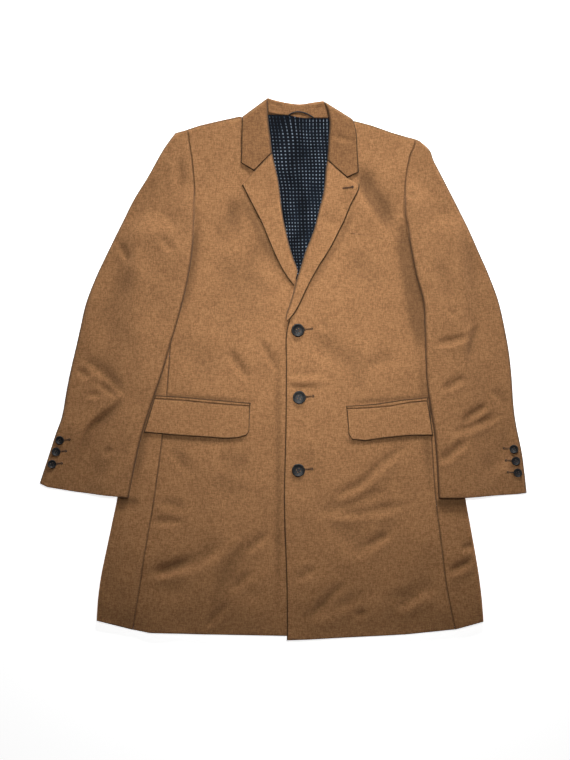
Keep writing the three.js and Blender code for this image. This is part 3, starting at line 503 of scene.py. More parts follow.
def lower_body():
    """The outline of the body that the sleeves lie on."""
    sides = []
    for side in SIGN:
        column = BODY_COLUMNS.index("fold" + side.title())
        sides.append(BODY[:, [column, 0]].tolist() + UNDERARM[side] + [SLEEVE[side][CAP_ROWS - 1, :2]])
    return np.array(sides[0] + sides[1][::-1], float)


LOWER_BODY = lower_body()


def sleeve_rest(x, y):
    return SLEEVE_REST * (1 - smoothstep(outside(x, y, LOWER_BODY), 18, 63))


def sleeve_top(x, y):
    return sleeve_rest(x, y) + SLEEVE_HEIGHT + bumps("sleeve", x, y)


# Building shells.
def add_object(name, data):
    piece = bpy.data.objects.new(name, data)
    bpy.context.scene.collection.objects.link(piece)
    return piece


def make_mesh(name, points, faces):
    """A piece of smooth faces that all look outwards."""
    mesh = bpy.data.meshes.new(name)
    mesh.from_pydata((np.asarray(points) * MM).tolist(), [], faces)
    mesh.update()
    mesh.polygons.foreach_set("use_smooth", [True] * len(mesh.polygons))
    work = bmesh.new()
    work.from_mesh(mesh)
    bmesh.ops.recalc_face_normals(work, faces=work.faces)
    if work.calc_volume(signed=True) < 0:
        bmesh.ops.reverse_faces(work, faces=work.faces)
    work.to_mesh(mesh)
    work.free()
    return add_object(name, mesh)


def shell_faces(rows, columns, start=0):
    """Faces of a closed wall between an outer and an inner grid, with rims all round."""
    at = start + np.arange(2 * rows * columns).reshape(2, rows, columns)
    corners = [at[:, :-1, :-1], at[:, :-1, 1:], at[:, 1:, 1:], at[:, 1:, :-1]]
    cells = np.stack(corners, axis=-1).reshape(2, -1, 4)
    rim = np.concatenate([at[:, 0, :-1], at[:, :-1, -1], at[:, -1, :0:-1], at[:, :0:-1, 0]], axis=1)
    ahead = np.roll(rim, -1, axis=1)
    wall = np.stack([ahead[0], rim[0], rim[1], ahead[1]], axis=-1)
    return np.concatenate([cells[0], cells[1][:, [0, 3, 2, 1]], wall]).tolist()


def shell(name, *grids):
    """One mesh of closed walls, each between an outer and an inner grid of points, with a painted shade value
    at each point.
    """
    points, faces, shades = [], [], []
    for outer, inner, shade in grids:
        faces += shell_faces(*shade.shape, len(points))
        points += outer.reshape(-1, 3).tolist() + inner.reshape(-1, 3).tolist()
        # Painted shade: the outside keeps its value, and the inside and the rims are painted fully dark.
        shades += shade.ravel().tolist() + [1.0] * shade.size
    piece = make_mesh(name, points, faces)
    piece.data.attributes.new("painted_shade", "FLOAT", "POINT").data.foreach_set("value", shades)
    return piece


# Edges of a panel: how far in each kind is rounded, in how many steps, how dark the painted shade along it is
# and how far in from the edge that painted shade reaches.
FOLD, SEAM, FREE, HEMMED = "fold", "seam", "free", "hemmed"
EDGES = {FOLD: (FOLD_RADIUS, 9, 0.7, 3.2), SEAM: (2, 5, 0.42, 1.9), FREE: (2.4, 7, 1, 3.2),
         HEMMED: (2.4, 5, 0.5, 1.2)}
SEAM_DEPTH = 2.0


def edge_places(kind, thickness):
    """Distances from an edge of the outside and the inside, the share of the height that goes and
    the painted shade there."""
    if kind is None:
        return np.zeros((4, 0))
    radius, steps, dark, reach = EDGES[kind]
    angle = np.linspace(0, math.pi / 2, steps + 1)[:-1]
    outer = radius * (1 - np.cos(angle))
    inner = radius - (radius - thickness) * np.cos(angle) if kind == FOLD else outer
    return np.array([outer, inner, 1 - np.sin(angle), dark * np.clip(1.2 - outer / reach, 0, 1)])


def edge_columns(start, end, count):
    """What two facing edges give to each of count places between them: both drops and the painted shade."""
    first = np.pad(start[2:], ((0, 0), (0, count - start.shape[1])))
    last = np.pad(end[2:, ::-1], ((0, 0), (count - end.shape[1], 0)))
    return first[0], last[0], first[1] + last[1]


def panel_grids(side_a, side_b, top, edges, foot=None, head=None, bases=None, thickness=CLOTH, step=4.0,
                hollow=level(0.0)):
    """The outer and inner grids of a panel between two sides that have a point for each row.

    edges says how its edges a, b, foot and head are finished, bases how low each fold comes and
    hollow the painted shade in its troughs."""
    far = distances(refined(side_a, 20))
    row_places = np.linspace(0, len(side_a) - 1, len(far))
    total = far[-1]
    ends = {name: edge_places(edges.get(name), thickness) for name in ("a", "b", "foot", "head")}
    radii = {name: EDGES[edges[name]][0] if name in edges else 0.0 for name in ends}

    def sides_at(distance):
        rows = np.interp(distance, far, row_places)
        return through(side_a, rows), through(side_b, rows)

    def row_stations(layer):
        count = max(int((total - radii["foot"] - radii["head"]) / step), 2) + 1
        middle = np.linspace(radii["foot"], total - radii["head"], count)
        return np.concatenate([ends["foot"][layer], middle, total - ends["head"][layer][::-1]])

    def across_stations(distance, layer):
        a, b = sides_at(distance)
        length = np.linalg.norm(b - a, axis=1, keepdims=True)
        count = max(int(length.max() / step), 2) + 1
        squeeze = np.minimum(1.0, 0.9 * length / max(radii["a"] + radii["b"], 1e-6))
        start, end = radii["a"] * squeeze, length - radii["b"] * squeeze
        spread = start + (end - start) * np.linspace(0, 1, count)
        right = length - ends["b"][layer][::-1] * squeeze
        return np.concatenate([ends["a"][layer] * squeeze, spread, right], axis=1) / length

    def place(distance, across):
        a, b = sides_at(distance)
        point = a[:, None] + (b - a)[:, None] * across[..., None]
        share = (distance / total)[:, None, None]
        for line, weight in ((foot, 1 - share), (head, share)):
            if line is not None:
                line = np.asarray(line, float)
                bulge = along(line, across) - (line[0] + (line[-1] - line[0]) * across[..., None])
                point = point + bulge * weight
        return point

    rows, across = row_stations(0), across_stations(row_stations(0), 0)
    outer_points = place(rows, across)
    inner_points = place(row_stations(1), across_stations(rows, 1))
    foot_drop, head_drop, row_shade = edge_columns(ends["foot"], ends["head"], len(rows))
    a_drop, b_drop, column_shade = edge_columns(ends["a"], ends["b"], across.shape[1])
    x, y = outer_points[..., 0], outer_points[..., 1]
    height = top(x, y)
    upper, lower, floor = height, height - thickness, height - thickness
    folded = np.zeros(x.shape, bool)
    drops = {"a": a_drop, "b": b_drop, "foot": foot_drop[:, None], "head": head_drop[:, None]}
    for name, kind in edges.items():
        drop = drops[name]
        if kind == FOLD:
            base = bases[name](x, y)
            upper = upper - drop * (height - base)
            lower = lower - drop * (height - thickness - base)
            floor = np.where(drop > 0, np.minimum(floor, base), floor)
            folded |= drop > 0
        else:
            upper = upper - drop * (SEAM_DEPTH if kind == SEAM else thickness - 0.3)
    lower = np.maximum(lower, floor)
    upper = np.where(folded, np.maximum(upper, floor), np.maximum(upper, lower + 0.25))
    return (
        np.dstack([outer_points, upper]),
        np.dstack([inner_points, lower]),
        np.maximum(np.maximum(row_shade[:, None], column_shade[None]), hollow(x, y)),
    )


def folded_grids(seams, folds, unders, top, step=4.0):
    """A panel over the top from one seam, round a fold, and back underneath."""
    radius = top(folds[:, 0], folds[:, 1])[:, None] / 2
    width = np.linalg.norm(folds - seams, axis=1)
    out, below = unit(folds - seams), unit(folds - unders)
    crest = folds - radius * out
    count = max(int(width.max() / step), 3)
    edge = edge_places(SEAM, CLOTH)
    shares = np.concatenate([edge[0], np.linspace(EDGES[SEAM][0], width.mean(), count)]) / width.mean()
    drops = np.pad(edge[2], (0, count))
    angles = np.radians(np.linspace(90, -90, 15))[1:]
    sections = []
    for skin in (0.0, CLOTH):
        flat = seams[:, None] + (crest - seams)[:, None] * shares[None, :, None]
        height = top(flat[..., 0], flat[..., 1]) - skin - (drops * SEAM_DEPTH if skin == 0 else 0)
        way = np.where(angles[None, :, None] >= 0, out[:, None], below[:, None])
        reach = (radius - skin)[:, :, None] * np.cos(angles)[None, :, None] - radius[:, :, None]
        turn_height = radius + (radius - skin) * np.sin(angles)[None]
        turn = np.dstack([folds[:, None] + way * reach, turn_height])
        end = np.column_stack([unders, np.full(len(unders), skin)])[:, None]
        sections.append(np.concatenate([np.dstack([flat, height]), turn, end], axis=1))
    # Painted shade along the seam edge.
    shade = np.zeros(sections[0].shape[:2])
    shade[:, : edge.shape[1]] = edge[3]
    return *sections, shade


def developed(outer):
    """The width, length and area of a piece laid flat, from the grid of its outside."""
    across = np.linalg.norm(np.diff(outer, axis=1), axis=2)
    down = np.linalg.norm(np.diff(outer, axis=0), axis=2)
    a, b = outer[1:, 1:] - outer[:-1, :-1], outer[1:, :-1] - outer[:-1, 1:]
    area = np.linalg.norm(np.cross(a, b), axis=2).sum() / 2
    return across.sum(axis=1).max() * MM, down.sum(axis=0).max() * MM, area * MM * MM


# The pieces of cloth.
def armhole(side):
    return np.array(UNDERARM[side] + SLEEVE[side][:CAP_ROWS, :2][::-1].tolist(), float)


def side_lines(side):
    share = np.linspace(0, 1, BODY_ROWS + 1)
    seam_y = lerp(HEM[side][0][1], 208, share)
    fold_y = lerp(FOLD_FOOT[side], 211, share)
    fold_x = body_at("fold" + side.title(), fold_y)
    seam = np.stack([body_at("seam" + side.title(), seam_y), seam_y], axis=1)
    under = np.stack([fold_x - SIGN[side] * SIDE_WRAP, fold_y - lerp(8, 1, share)], axis=1)
    return seam, np.stack([fold_x, fold_y], axis=1), under


def front_edge(side, y):
    straight = UNDERLAP_EDGE if side == "right" else curve_at(EDGE_LEFT, np.minimum(y, BREAK_Y))
    rolled = roll_at(side, np.maximum(y, BREAK_Y)) + SIGN[side] * ROLL_WALL
    return np.where(y <= BREAK_Y, straight, rolled)


def front_grids(side):
    side_a = np.concatenate([side_lines(side)[0], armhole(side)])
    gap = lerp(-SEAM_GAP / 2, ARMHOLE_LAP, smoothstep(side_a[:, 1], *ARMHOLE_LAP_Y))
    side_a[:, 0] += SIGN[side] * gap
    share = (side_a[:, 1] - side_a[0, 1]) / (side_a[-1, 1] - side_a[0, 1])
    y = lerp(HEM[side][-1][1], SHOULDER[side][-1][1], share)
    side_b = np.stack([front_edge(side, y), y], axis=1)
    edges = {"a": SEAM, "b": FREE, "foot": HEMMED, "head": FOLD}
    bases = {"head": lambda x, y: CLOTH + EDGE_SEAT + 1.35 * back_lift(x, y)}
    # Painted shade in the troughs of the creases and where other pieces shade the front.
    shade = hollow_shade(BODY_SHADES + BODY_CREASES, BODY_HOLLOW)
    return panel_grids(side_a, side_b, partial(front_top, side), edges, HEM[side], SHOULDER[side], bases,
                       step=3.6, hollow=shade)


def side_grids(side):
    lines = side_lines(side)
    lines[0][:, 0] += SIGN[side] * SEAM_GAP / 2
    places = np.linspace(0, BODY_ROWS, 150)
    outer, inner, shade = folded_grids(*(through(line, places) for line in lines), partial(front_top, side))
    # Painted shade in the troughs and where a sleeve or cuff shades the side.
    hollow = hollow_shade(SIDE_SHADES + BODY_CREASES, BODY_HOLLOW)(outer[..., 0], outer[..., 1])
    return outer, inner, np.maximum(shade, hollow)


def back_grids():
    sides = []
    for side in SIGN:
        line = np.concatenate([side_lines(side)[2], armhole(side)])
        line[:, 0] -= SIGN[side] * 0.3
        sides.append(line)
    top = lambda x, y: back_lift(x, y) + CLOTH
    return panel_grids(*sides, top, {}, HEM["back"], SHOULDER["back"], step=9.0)


def sleeve_edge_base(x, y):
    rest = sleeve_rest(x, y)
    climbed = np.clip(rest / SLEEVE_REST, 0, 1)
    return rest + CLOTH + EDGE_SEAT + 2.5 * np.sqrt(climbed) * (1 - climbed)


def sleeve_inner_base(x, y):
    """The inner edge lies on the front, and tucks in a little along the armhole."""
    seat = BODY_HEIGHT - CLOTH
    return lerp(np.maximum(seat, sleeve_edge_base(x, y)), seat - SLEEVE_TUCK, smoothstep(y, *SLEEVE_TUCK_Y))


def sleeve_sides(side):
    rows = SLEEVE[side][::-1]
    return rows[:, :2] + [SIGN[side] * SEAM_GAP / 2, 0], rows[:, 2:]


def sleeve_top_grids(side):
    edges = {"a": FOLD, "b": FOLD, "foot": HEMMED, "head": FOLD}
    bases = {"a": sleeve_inner_base, "b": sleeve_edge_base, "head": level(CLOTH + EDGE_SEAT)}
    # Painted shade in the troughs of the sleeve's creases.
    shade = hollow_shade(SLEEVE_CREASES, SLEEVE_HOLLOW)
    return panel_grids(*sleeve_sides(side), sleeve_top, edges, CUFF[side], None, bases, CLOTH, 3.2, shade)


def sleeve_under_grids(side):
    return panel_grids(*sleeve_sides(side), lambda x, y: sleeve_rest(x, y) + CLOTH, {}, CUFF[side], step=7.0)


def on_front(side, x, y):
    return front_top(side, x, y) + 1.3 + CLOTH


def lapel_top(side, x, y):
    fuller = ROLL_BULGE * np.exp(-np.abs(x - roll_at(side, y)) / 20)
    return on_front(side, x, y) + fuller + creases(LAPEL_CREASES, x, y)


def roll_base(side, x, y):
    """A lapel's roll comes down past the front's edge, and onto it below the break."""
    height = front_top(side, x, y)
    beside = np.maximum(height - CLOTH, CLOTH + LINING + 0.5 + back_lift(x, y))
    return np.where(y < BREAK_Y + 2, height + 0.2, beside)


def lapel_grids(side):
    rows = LAPEL[side]
    edges = {"a": FOLD, "b": FREE, "head": SEAM}
    bases = {"a": partial(roll_base, side)}
    return panel_grids(rows[:, :2], rows[:, 2:], partial(lapel_top, side), edges, None, GORGE[side], bases,
                       step=2.2)


def leaf_grids(side):
    """A leaf of the collar, whose foot follows the gorge to the notch."""
    rows = np.linspace(0, 1, 9)
    roll, outer = (along(LEAF[side][name], rows, smooth=True) for name in ("roll", "outer"))
    foot = [[x, y + GORGE_GAP] for x, y in GORGE[side][:-1]] + LEAF[side]["outer"][:1]
    edges = {"a": FOLD, "b": FREE, "foot": FREE, "head": FOLD}
    top = lambda x, y: on_front(side, x, y) + 1.4 + creases(LEAF_CREASES, x, y)
    return panel_grids(roll, outer, top, edges, foot, None, {"a": level(7.9), "head": level(0.6)}, step=2.2)


def stand_grids():
    share = np.linspace(0, 1, 60)
    folds, seams = (along(line, share, smooth=True) for line in (COLLAR_FOLD, NECK_SEAM))
    top = lambda x, y: STAND_HEIGHT + creases(STAND_CREASES, x, y)
    return folded_grids(seams, folds, folds - [0, FALL_UNDER], top, 2.0)


def fall_grids():
    """The fall lies on the surface under the back."""
    share = np.linspace(1, 0, 20)
    left, right = (along(line, share, smooth=True) for line in (FALL[:3], FALL[8:5:-1]))
    head = [[x, y - 1.5] for x, y in COLLAR_FOLD]
    return panel_grids(left, right, level(CLOTH), {}, FALL[2:7], head, step=6.0)


def strip_grids(side, part, edges, thickness, step):
    """A strip of cloth that lies on its front: a pocket's flap or jet."""
    lower, upper = (along(POCKETS[side][part + end], np.linspace(0, 1, 40)) for end in ("Foot", "Top"))
    top = lambda x, y: front_top(side, x, y) + LAY_GAP + thickness
    edges = {**edges, "foot": FREE, "head": FREE}
    return panel_grids(lower, upper, top, edges, thickness=thickness, step=step)


def lining_grids():
    """The back lining in the neck, with its long soft trough."""
    rows = np.linspace(0, 1, 40)
    y = lerp(132, 429, rows)
    left = np.stack([roll_at("right", y) - 14, y + 5 * rows], axis=1)
    right = np.stack([np.minimum(roll_at("left", y) + 14, 88), y], axis=1)

    def top(x, y):
        lift = 1.9 * smoothstep(np.abs(x - 26), 60, 20)
        folds = creases(LINING_CREASES, x, y) * smoothstep(-y, -428, -400)
        return CLOTH + 0.3 + LINING + back_lift(x, y) + lift + folds

    return panel_grids(left, right, top, {}, thickness=LINING, step=2.6)


# Materials.
def plug(made, inputs):
    """Links or sets a node's inputs."""
    for name, value in inputs.items():
        if isinstance(value, bpy.types.NodeSocket):
            made.id_data.links.new(value, made.inputs[name])
        else:
            made.inputs[name].default_value = value


def new_material(name):
    material = bpy.data.materials.new(name)
    material.use_nodes = True
    tree = material.node_tree
    tree.nodes.clear()
    shader = tree.nodes.new("ShaderNodeBsdfPrincipled")
    plug(tree.nodes.new("ShaderNodeOutputMaterial"), {"Surface": shader.outputs["BSDF"]})
    return material, tree, shader


def node(tree, kind, inputs, out=0, **settings):
    """An output of a new node."""
    made = tree.nodes.new("ShaderNode" + kind)
    for name, value in settings.items():
        setattr(made, name, value)
    plug(made, inputs)
    return made.outputs[out]


def object_place(tree, scale=(1, 1, 1), turn=0.0):
    place = node(tree, "TexCoord", {}, "Object")
    return node(tree, "Mapping", {"Vector": place, "Scale": scale, "Rotation": (0, 0, turn)})


def noise(vector, scale, detail, roughness):
    inputs = {"Vector": vector, "Scale": scale, "Detail": detail, "Roughness": roughness}
    return node(vector.id_data, "TexNoise", inputs, "Fac")


def ramp(value, *stops):
    made = node(value.id_data, "ValToRGB", {"Fac": value}, "Color")
    elements = made.node.color_ramp.elements
    while len(elements) < len(stops):
        elements.new(0.5)
    for element, (position, color) in zip(elements, stops):
        element.position = position
        element.color = color
    return made


def mixed(mode, factor, a, b):
    return node(a.id_data, "Mix", {0: factor, 6: a, 7: b}, 2, data_type="RGBA", blend_type=mode)


def maths(operation, *values):
    return node(values[0].id_data, "Math", dict(enumerate(values)), operation=operation)


def remap(value, source, target):
    names = ("Value", "From Min", "From Max", "To Min", "To Max")
    return node(value.id_data, "MapRange", dict(zip(names, (value, *source, *target))), "Result")


def bump(height, strength, distance, **more):
    inputs = {"Height": height, "Strength": strength, "Distance": distance, **more}
    return node(height.id_data, "Bump", inputs, "Normal")


def linear(red, green, blue):
    """An sRGB colour of 0 to 255 as the linear colour that a shader takes."""
    channels = [c / 255 for c in (red, green, blue)]
    return tuple(c / 12.92 if c <= 0.04045 else ((c + 0.055) / 1.055) ** 2.4 for c in channels) + (1.0,)


def toned(base, gain):
    return tuple(min(c * gain, 1) for c in base[:3]) + (1,)


def wool_material(name, base, turn=0.0):
    """Melton with a short nap: heathered fibres, a faint weave under them, soft bumps and painted shade
    towards a deep tone.
    """
    material, tree, shader = new_material(name)
    place = object_place(tree, turn=turn)
    along_nap = object_place(tree, (1, 0.45, 1), turn)
    weft = noise(object_place(tree, (0.26, 1, 1), turn), 500, 2, 0.6)
    warp = noise(object_place(tree, (1, 0.26, 1), turn), 500, 2, 0.6)
    heather = mixed("MIX", 0.5, weft, warp)
    fibre = noise(along_nap, 900, 3, 0.7)
    colour = ramp(fibre, (0.3, toned(base, 0.68)), (0.5, base), (0.72, toned(base, 1.3)))
    speckle = ramp(heather, (0.41, (0.68, 0.66, 0.64, 1)), (0.59, (1.2, 1.19, 1.18, 1)))
    colour = mixed("MULTIPLY", 0.9, colour, speckle)
    patches = noise(place, 22, 4, 0.6)
    cloud = ramp(patches, (0.35, (0.9, 0.89, 0.88, 1)), (0.65, (1.07, 1.07, 1.07, 1)))
    colour = mixed("MULTIPLY", 0.6, colour, cloud)
    colour = mixed("MIX", 0.12, colour, (base[0] * 1.12, base[1] * 0.98, base[2] * 0.86, 1))
    # Painted shade: the colour goes towards a deep tone of the base by the mesh's painted shade value.
    painted_shade = node(tree, "Attribute", {}, "Fac", attribute_name="painted_shade")
    colour = mixed("MIX", painted_shade, colour, toned(base, 0.13))
    wave = {"Vector": object_place(tree, turn=turn + 0.9), "Scale": 190, "Distortion": 2.5, "Detail": 2,
            "Detail Scale": 2}
    relief = mixed("MIX", 0.3, noise(along_nap, 900, 2, 0.6), node(tree, "TexWave", wave, "Fac"))
    nap = bump(relief, 0.45, 0.0006)
    soft = bump(noise(place, 70, 2, 0.5), 0.12, 0.0018, Normal=nap)
    plug(shader, {"Base Color": colour, "Normal": soft, "Roughness": 0.94, "Specular IOR Level": 0.18,
                  "Sheen Weight": 0.1, "Sheen Roughness": 0.5, "Sheen Tint": (1, 0.86, 0.7, 1)})
    return material


def lining_material():
    """Navy satin-backed lining with small pale squares in rows that fan out near the neck, and painted light
    and shade of soft folds.
    """
    material, tree, shader = new_material("navy_dotted_lining")
    place = object_place(tree)
    split = node(tree, "SeparateXYZ", {"Vector": place}).node.outputs
    shift = maths("MULTIPLY", noise(place, 14, 1, 0.5), 0.006)
    turn = remap(split["X"], (-0.004, 0.026), (0.13, 0.05))
    lean = maths("MULTIPLY", maths("SUBTRACT", split["Y"], 0.3), turn)
    across = maths("ADD", maths("ADD", split["X"], lean), shift)
    down = maths("ADD", split["Y"], shift)

    def near_centre(value, near_neck):
        half = remap(split["Y"], (0.392, 0.412), (SQUARE, near_neck))
        part = maths("FRACT", maths("DIVIDE", value, PITCH))
        away = maths("ABSOLUTE", maths("SUBTRACT", part, 0.5))
        return remap(maths("SUBTRACT", away, half), (-0.05, 0.04), (1, 0))

    dots = maths("MULTIPLY", near_centre(across, 0.09), near_centre(down, 0.3))
    weave = noise(place, 900, 1, 0.5)
    ground = ramp(weave, (0.3, linear(8, 11, 17)), (0.7, linear(18, 24, 33)))
    bright = noise(place, 34, 2, 0.5)
    pale = ramp(bright, (0.35, linear(70, 82, 96)), (0.65, linear(150, 164, 180)))
    # Painted light and shade of the lining's folds: streaks that darken and lighten the colour.
    folds = noise(object_place(tree, (1, 0.3, 1), 0.15), 34, 2, 0.5)
    shade = ramp(folds, (0.38, (0.3, 0.31, 0.34, 1)), (0.6, (1.2, 1.2, 1.2, 1)))
    colour = mixed("MULTIPLY", 0.85, mixed("MIX", dots, ground, pale), shade)
    plug(shader, {"Base Color": colour, "Normal": bump(dots, 0.15, 0.0002), "Roughness": 0.7,
                  "Specular IOR Level": 0.08})
    return material


def button_material():
    """Dark horn: near black with faint brown-grey streaks and a soft polish."""
    material, tree, shader = new_material("dark_horn")
    streaks = noise(object_place(tree, (1, 2.2, 1)), 160, 4, 0.6)
    colour = ramp(streaks, (0.35, linear(9, 9, 11)), (0.6, linear(18, 17, 17)), (0.8, linear(38, 34, 33)))
    rough = remap(streaks, (0, 1), (0.42, 0.6))
    plug(shader, {"Base Color": colour, "Roughness": rough, "Specular IOR Level": 0.45})
    return material


def thread_material(name, dark, light):
    material, tree, shader = new_material(name)
    twist = node(tree, "TexWave", {"Vector": object_place(tree, turn=0.6), "Scale": 900}, "Fac")
    colour = ramp(twist, (0.2, linear(*dark)), (0.8, linear(*light)))
    plug(shader, {"Base Color": colour, "Normal": bump(twist, 0.3, 0.0002), "Roughness": 0.7})
    return material


CAMEL = linear(158, 116, 78)
WOOL = wool_material("camel_wool", CAMEL)
WOOL_SLEEVE = wool_material("camel_wool_sleeve", linear(154, 113, 76), 0.25)
WOOL_FACING = wool_material("camel_wool_facing", CAMEL, -0.4)
# The collar's wool is a darker copy of the camel: painted shade for the collar.
WOOL_COLLAR_SHADED = wool_material("camel_wool_collar_shaded", linear(138, 100, 66), 1.1)
LINING_CLOTH = lining_material()
HORN = button_material()
DARK_THREAD = thread_material("dark_thread", (30, 24, 24), (58, 46, 42))
TAN_THREAD = thread_material("tan_thread", (52, 34, 22), (84, 58, 38))
MAROON_THREAD = thread_material("maroon_thread", (30, 12, 14), (56, 26, 28))
BLACK_CORD = thread_material("black_cord", (12, 12, 13), (30, 30, 32))


def dress(piece, material, slot, *nodes):
    """Gives a piece its material and body, and hides the nodes it replaces. The slot is not used."""
    piece.data.materials.clear()
    piece.data.materials.append(material)
    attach(piece, "root")
    if nodes:
        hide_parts(*nodes)
    return piece


def cloth(name, node, grids, material=WOOL, slot="wool", wide=None):
    """A piece of cloth, with its cut worked out from its own form and the part turned in."""
    piece = dress(shell(name, *grids), material, slot, node)
    widths, lengths, areas = zip(*(developed(outer) for outer, _, _ in grids))
    width, length, area = max(widths), sum(lengths), sum(areas)
    if wide:
        width = wide * MM
        area = 0.97 * width * length
    area = min(max(area, 0.31 * width * length), width * length)


def build_cloth():
    cloth("back_panel", "back", [back_grids()])
    cloth("lining_neck", "lining_back", [lining_grids()], LINING_CLOTH, "lining")
    for side in SIGN:
        front, under = f"front_panel_{side}", f"sleeve_back_{side}"
        flap = strip_grids(side, "flap", {"a": FREE, "b": SEAM}, CLOTH, 2.0)
        jet = strip_grids(side, "jet", {"a": SEAM, "b": FREE}, 2.4, 1.2)
        cloth(front, f"front_{side}", [front_grids(side)])
        cloth(f"side_body_{side}", f"side_{side}", [side_grids(side)])
        cloth(under, f"sleeve_under_{side}", [sleeve_under_grids(side)], WOOL_SLEEVE)
        cloth(f"sleeve_front_{side}", f"sleeve_top_{side}", [sleeve_top_grids(side)],
              WOOL_SLEEVE)
        cloth(f"lapel_facing_{side}", f"lapel_{side}", [lapel_grids(side)], WOOL_FACING)
        cloth(f"pocket_flap_{side}", f"flap_{side}", [flap])
        cloth(f"pocket_jet_{side}", f"jet_{side}", [jet], wide=10.2)
    collar = [leaf_grids("right"), leaf_grids("left"), stand_grids(), fall_grids()]
    cloth("collar_cloth", "collar", collar, WOOL_COLLAR_SHADED)


# Buttons, threads and buttonholes.
def tube_faces(rings, sides, start=0):
    """Faces of a closed tube through rings of points."""
    faces = []
    for k in range(rings - 1):
        for s in range(sides):
            a, b = start + k * sides + s, start + k * sides + (s + 1) % sides
            faces.append((a, b, b + sides, a + sides))
    end = start + (rings - 1) * sides
    return faces + [tuple(range(start, start + sides))[::-1], tuple(range(end, end + sides))]


def lathe(name, profile, steps, x=0.0, y=0.0):
    """A body turned from a profile of radii and heights, on an axis at x and y."""
    points = []
    for radius, height in profile:
        for angle in math.tau * np.arange(steps) / steps:
            points.append((radius * math.cos(angle) + x, radius * math.sin(angle) + y, height))
    return make_mesh(name, points, tube_faces(len(profile), steps))


def button_mesh(radius, height, hole, spread):
    button = lathe("button_blank", np.multiply(BUTTON_PROFILE, (radius, height)), 56)
    for x, y in ((1, 1), (-1, 1), (-1, -1), (1, -1)):
        drill = lathe("drill", [(hole, -height), (hole, 2 * height)], 20, x * spread, y * spread)
        cut = button.modifiers.new("hole", "BOOLEAN")
        cut.operation = "DIFFERENCE"
        cut.solver = "EXACT"
        cut.object = drill
        bpy.context.view_layer.objects.active = button
        bpy.ops.object.modifier_apply(modifier=cut.name)
        bpy.data.objects.remove(drill)
    mesh = button.data
    mesh.polygons.foreach_set("use_smooth", [True] * len(mesh.polygons))
    mesh.set_sharp_from_angle(angle=math.radians(38))
    bpy.data.objects.remove(button)
    return mesh


def rods(name, rows, radius, sides):
    """Short round threads, each through its row of points, joined in one piece."""
    points, faces = [], []
    for line in rows:
        line = np.asarray(line, float)
        forward = unit(np.gradient(line, axis=0))
        across = unit(np.cross(forward, [0.12, 0.05, 1.0]))
        up = np.cross(across, forward)
        faces += tube_faces(len(line), sides, len(points))
        for k, centre in enumerate(line):
            shrink = 0.55 if k in (0, len(line) - 1) else 1.0
            for angle in math.tau * np.arange(sides) / sides:
                way = math.cos(angle) * across[k] + math.sin(angle) * up[k]
                points.append(centre + radius * shrink * way)
    return make_mesh(name, points, faces)


def tilt_on(top, x, y, reach):
    """The turn that lays a flat piece on a surface at a point."""
    slope_x = (top(x + reach, y) - top(x - reach, y)) / (2 * reach)
    slope_y = (top(x, y + reach) - top(x, y - reach)) / (2 * reach)
    normal = Vector((-slope_x, -slope_y, 1)).normalized()
    return Vector((0, 0, 1)).rotation_difference(normal).to_matrix().to_4x4()


def add_button(name, kind, mesh, top, x, y, turn):
    radius, height, _, spread = BUTTONS[kind]
    surface = lambda px, py: float(top(np.array([px]), np.array([py]))[0])
    place = Matrix.Translation(Vector((x, y, surface(x, y) + 0.4)) * MM)
    turned = place @ tilt_on(surface, x, y, radius) @ Matrix.Rotation(turn, 4, "Z")
    button = add_object(f"horn_{name}", mesh.copy())
    button.data.transform(turned)
    dress(button, HORN, "button", name)
    lines = []
    for shift in (-0.35, 0.0, 0.35):
        for sign in (-1, 1):
            side = sign * spread + shift
            lines.append([[side, spread * way, height * 0.62 + lift] for way, lift in BUTTON_STITCH])
    stitches = rods(f"thread_{name}", lines, 0.3, 6)
    stitches.data.transform(turned)
    dress(stitches, DARK_THREAD, "button")


def buttonhole(name, top, start, end, width, material):
    """A worked buttonhole: close stitches on both sides of a slit, round an eyelet at its end."""
    start, end = np.asarray(start, float), np.asarray(end, float)
    length = np.linalg.norm(end - start)
    run = (end - start) / length
    across = np.array([-run[1], run[0]])
    lines = []
    for centre in start + run * np.linspace(0, length, int(length / STITCH_STEP) + 1)[:, None]:
        for sign in (-1, 1):
            inner, outer = centre + sign * across * 0.25, centre + sign * across * width
            lines.append([inner, (inner + outer) / 2, outer])
    hub = end + run * 0.8
    for angle in np.radians(np.linspace(-110, 110, 11)):
        way = run * math.cos(angle) + across * math.sin(angle)
        lines.append([hub + way * 0.7, hub + way * (0.7 + width) / 1.4, hub + way * (width + 0.9)])
    bar = start - run * 0.5
    for sign in (-1, 1):
        lines.append([bar + across * sign * width * 0.9, bar, bar - across * sign * 0.1])
    lines = np.array(lines)
    height = top(lines[..., 0], lines[..., 1]) + [0.05, 0.42, 0.05]
    dress(rods(name, np.dstack([lines, height]), 0.42, 5), material, "button")


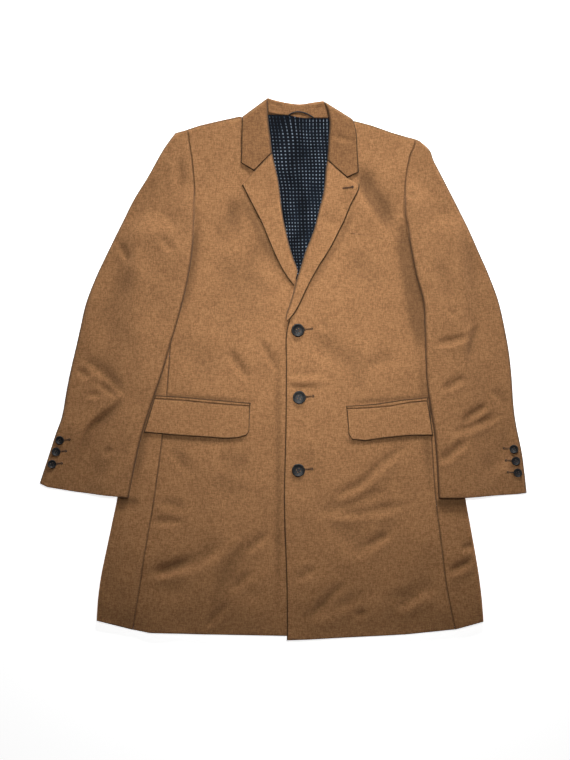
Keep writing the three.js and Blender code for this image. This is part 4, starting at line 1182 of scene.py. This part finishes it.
def build_fastenings():
    meshes = {kind: button_mesh(*size) for kind, size in BUTTONS.items()}
    body, lapel = partial(front_top, "left"), partial(lapel_top, "left")
    for k, (x, y) in enumerate(FRONT_BUTTONS):
        add_button(f"button_front_{k + 1}", "front", meshes["front"], body, x, y, 0.3 + 0.9 * k)
        buttonhole(f"buttonhole_front_{k + 1}", body, (x + 2, y + 0.5), (x + 22.5, y + 2.2), 1.5, TAN_THREAD)
    for side, sign in SIGN.items():
        for k, (x, y) in enumerate(CUFF_BUTTONS[side]):
            name = f"cuff_{side}_{k + 1}"
            add_button(f"button_{name}", "cuff", meshes["cuff"], sleeve_top, x, y, 0.5 + 0.7 * k)
            end = (x - sign * 15.5, y + 1.2)
            buttonhole(f"buttonhole_{name}", sleeve_top, (x, y), end, 1.2, DARK_THREAD)
    buttonhole("buttonhole_lapel", lapel, (102, 307.2), (117, 309.2), 1.5, MAROON_THREAD)


def build_loop():
    share = np.linspace(0, 1, 40)
    lift = STAND_HEIGHT + 1.5 + 0.8 * np.sin(math.pi * share)
    line = np.column_stack([along(LOOP, share, smooth=True), lift])
    dress(rods("neck_loop", [line], 1.25, 12), BLACK_CORD, "loop", "hanger_loop")


# The stage, the lights and the camera.
def build_stage():
    bpy.ops.mesh.primitive_plane_add(size=12, location=(0, 0, -0.0004))
    floor = bpy.context.object
    floor.name = "pale_floor"
    material, _, shader = new_material("pale_floor")
    plug(shader, {"Base Color": (0.93, 0.93, 0.93, 1), "Emission Color": (1, 1, 1, 1),
                  "Emission Strength": 0.8, "Roughness": 0.9, "Specular IOR Level": 0.1})
    floor.data.materials.append(material)

    world = bpy.data.worlds.new("studio")
    world.use_nodes = True
    bpy.context.scene.world = world
    plug(world.node_tree.nodes["Background"], {"Color": (1, 1, 1, 1), "Strength": 0.055})

    for name, place, target, size, power, spread in LIGHTS:
        light = bpy.data.lights.new(name, "AREA")
        light.shape = "RECTANGLE"
        light.size, light.size_y = size
        light.energy = power
        light.spread = math.radians(spread)
        lamp = add_object(name, light)
        lamp.location = place
        lamp.rotation_euler = (Vector(target) - Vector(place)).to_track_quat("-Z", "Y").to_euler()


def build_camera():
    """Straight above, with the photograph's frame."""
    lens = bpy.data.cameras.new("camera")
    lens.sensor_fit = "VERTICAL"
    lens.sensor_height = 24
    lens.lens = 24 * CAMERA_DISTANCE / (FRAME_HEIGHT * MM)
    camera = add_object("camera", lens)
    camera.location = (0.0034, -0.0182, CAMERA_DISTANCE + 0.012)
    bpy.context.scene.camera = camera


build_cloth()
build_fastenings()
build_loop()
build_stage()
build_camera()
bpy.context.scene.view_settings.view_transform = "Standard"

bpy.context.view_layer.update()
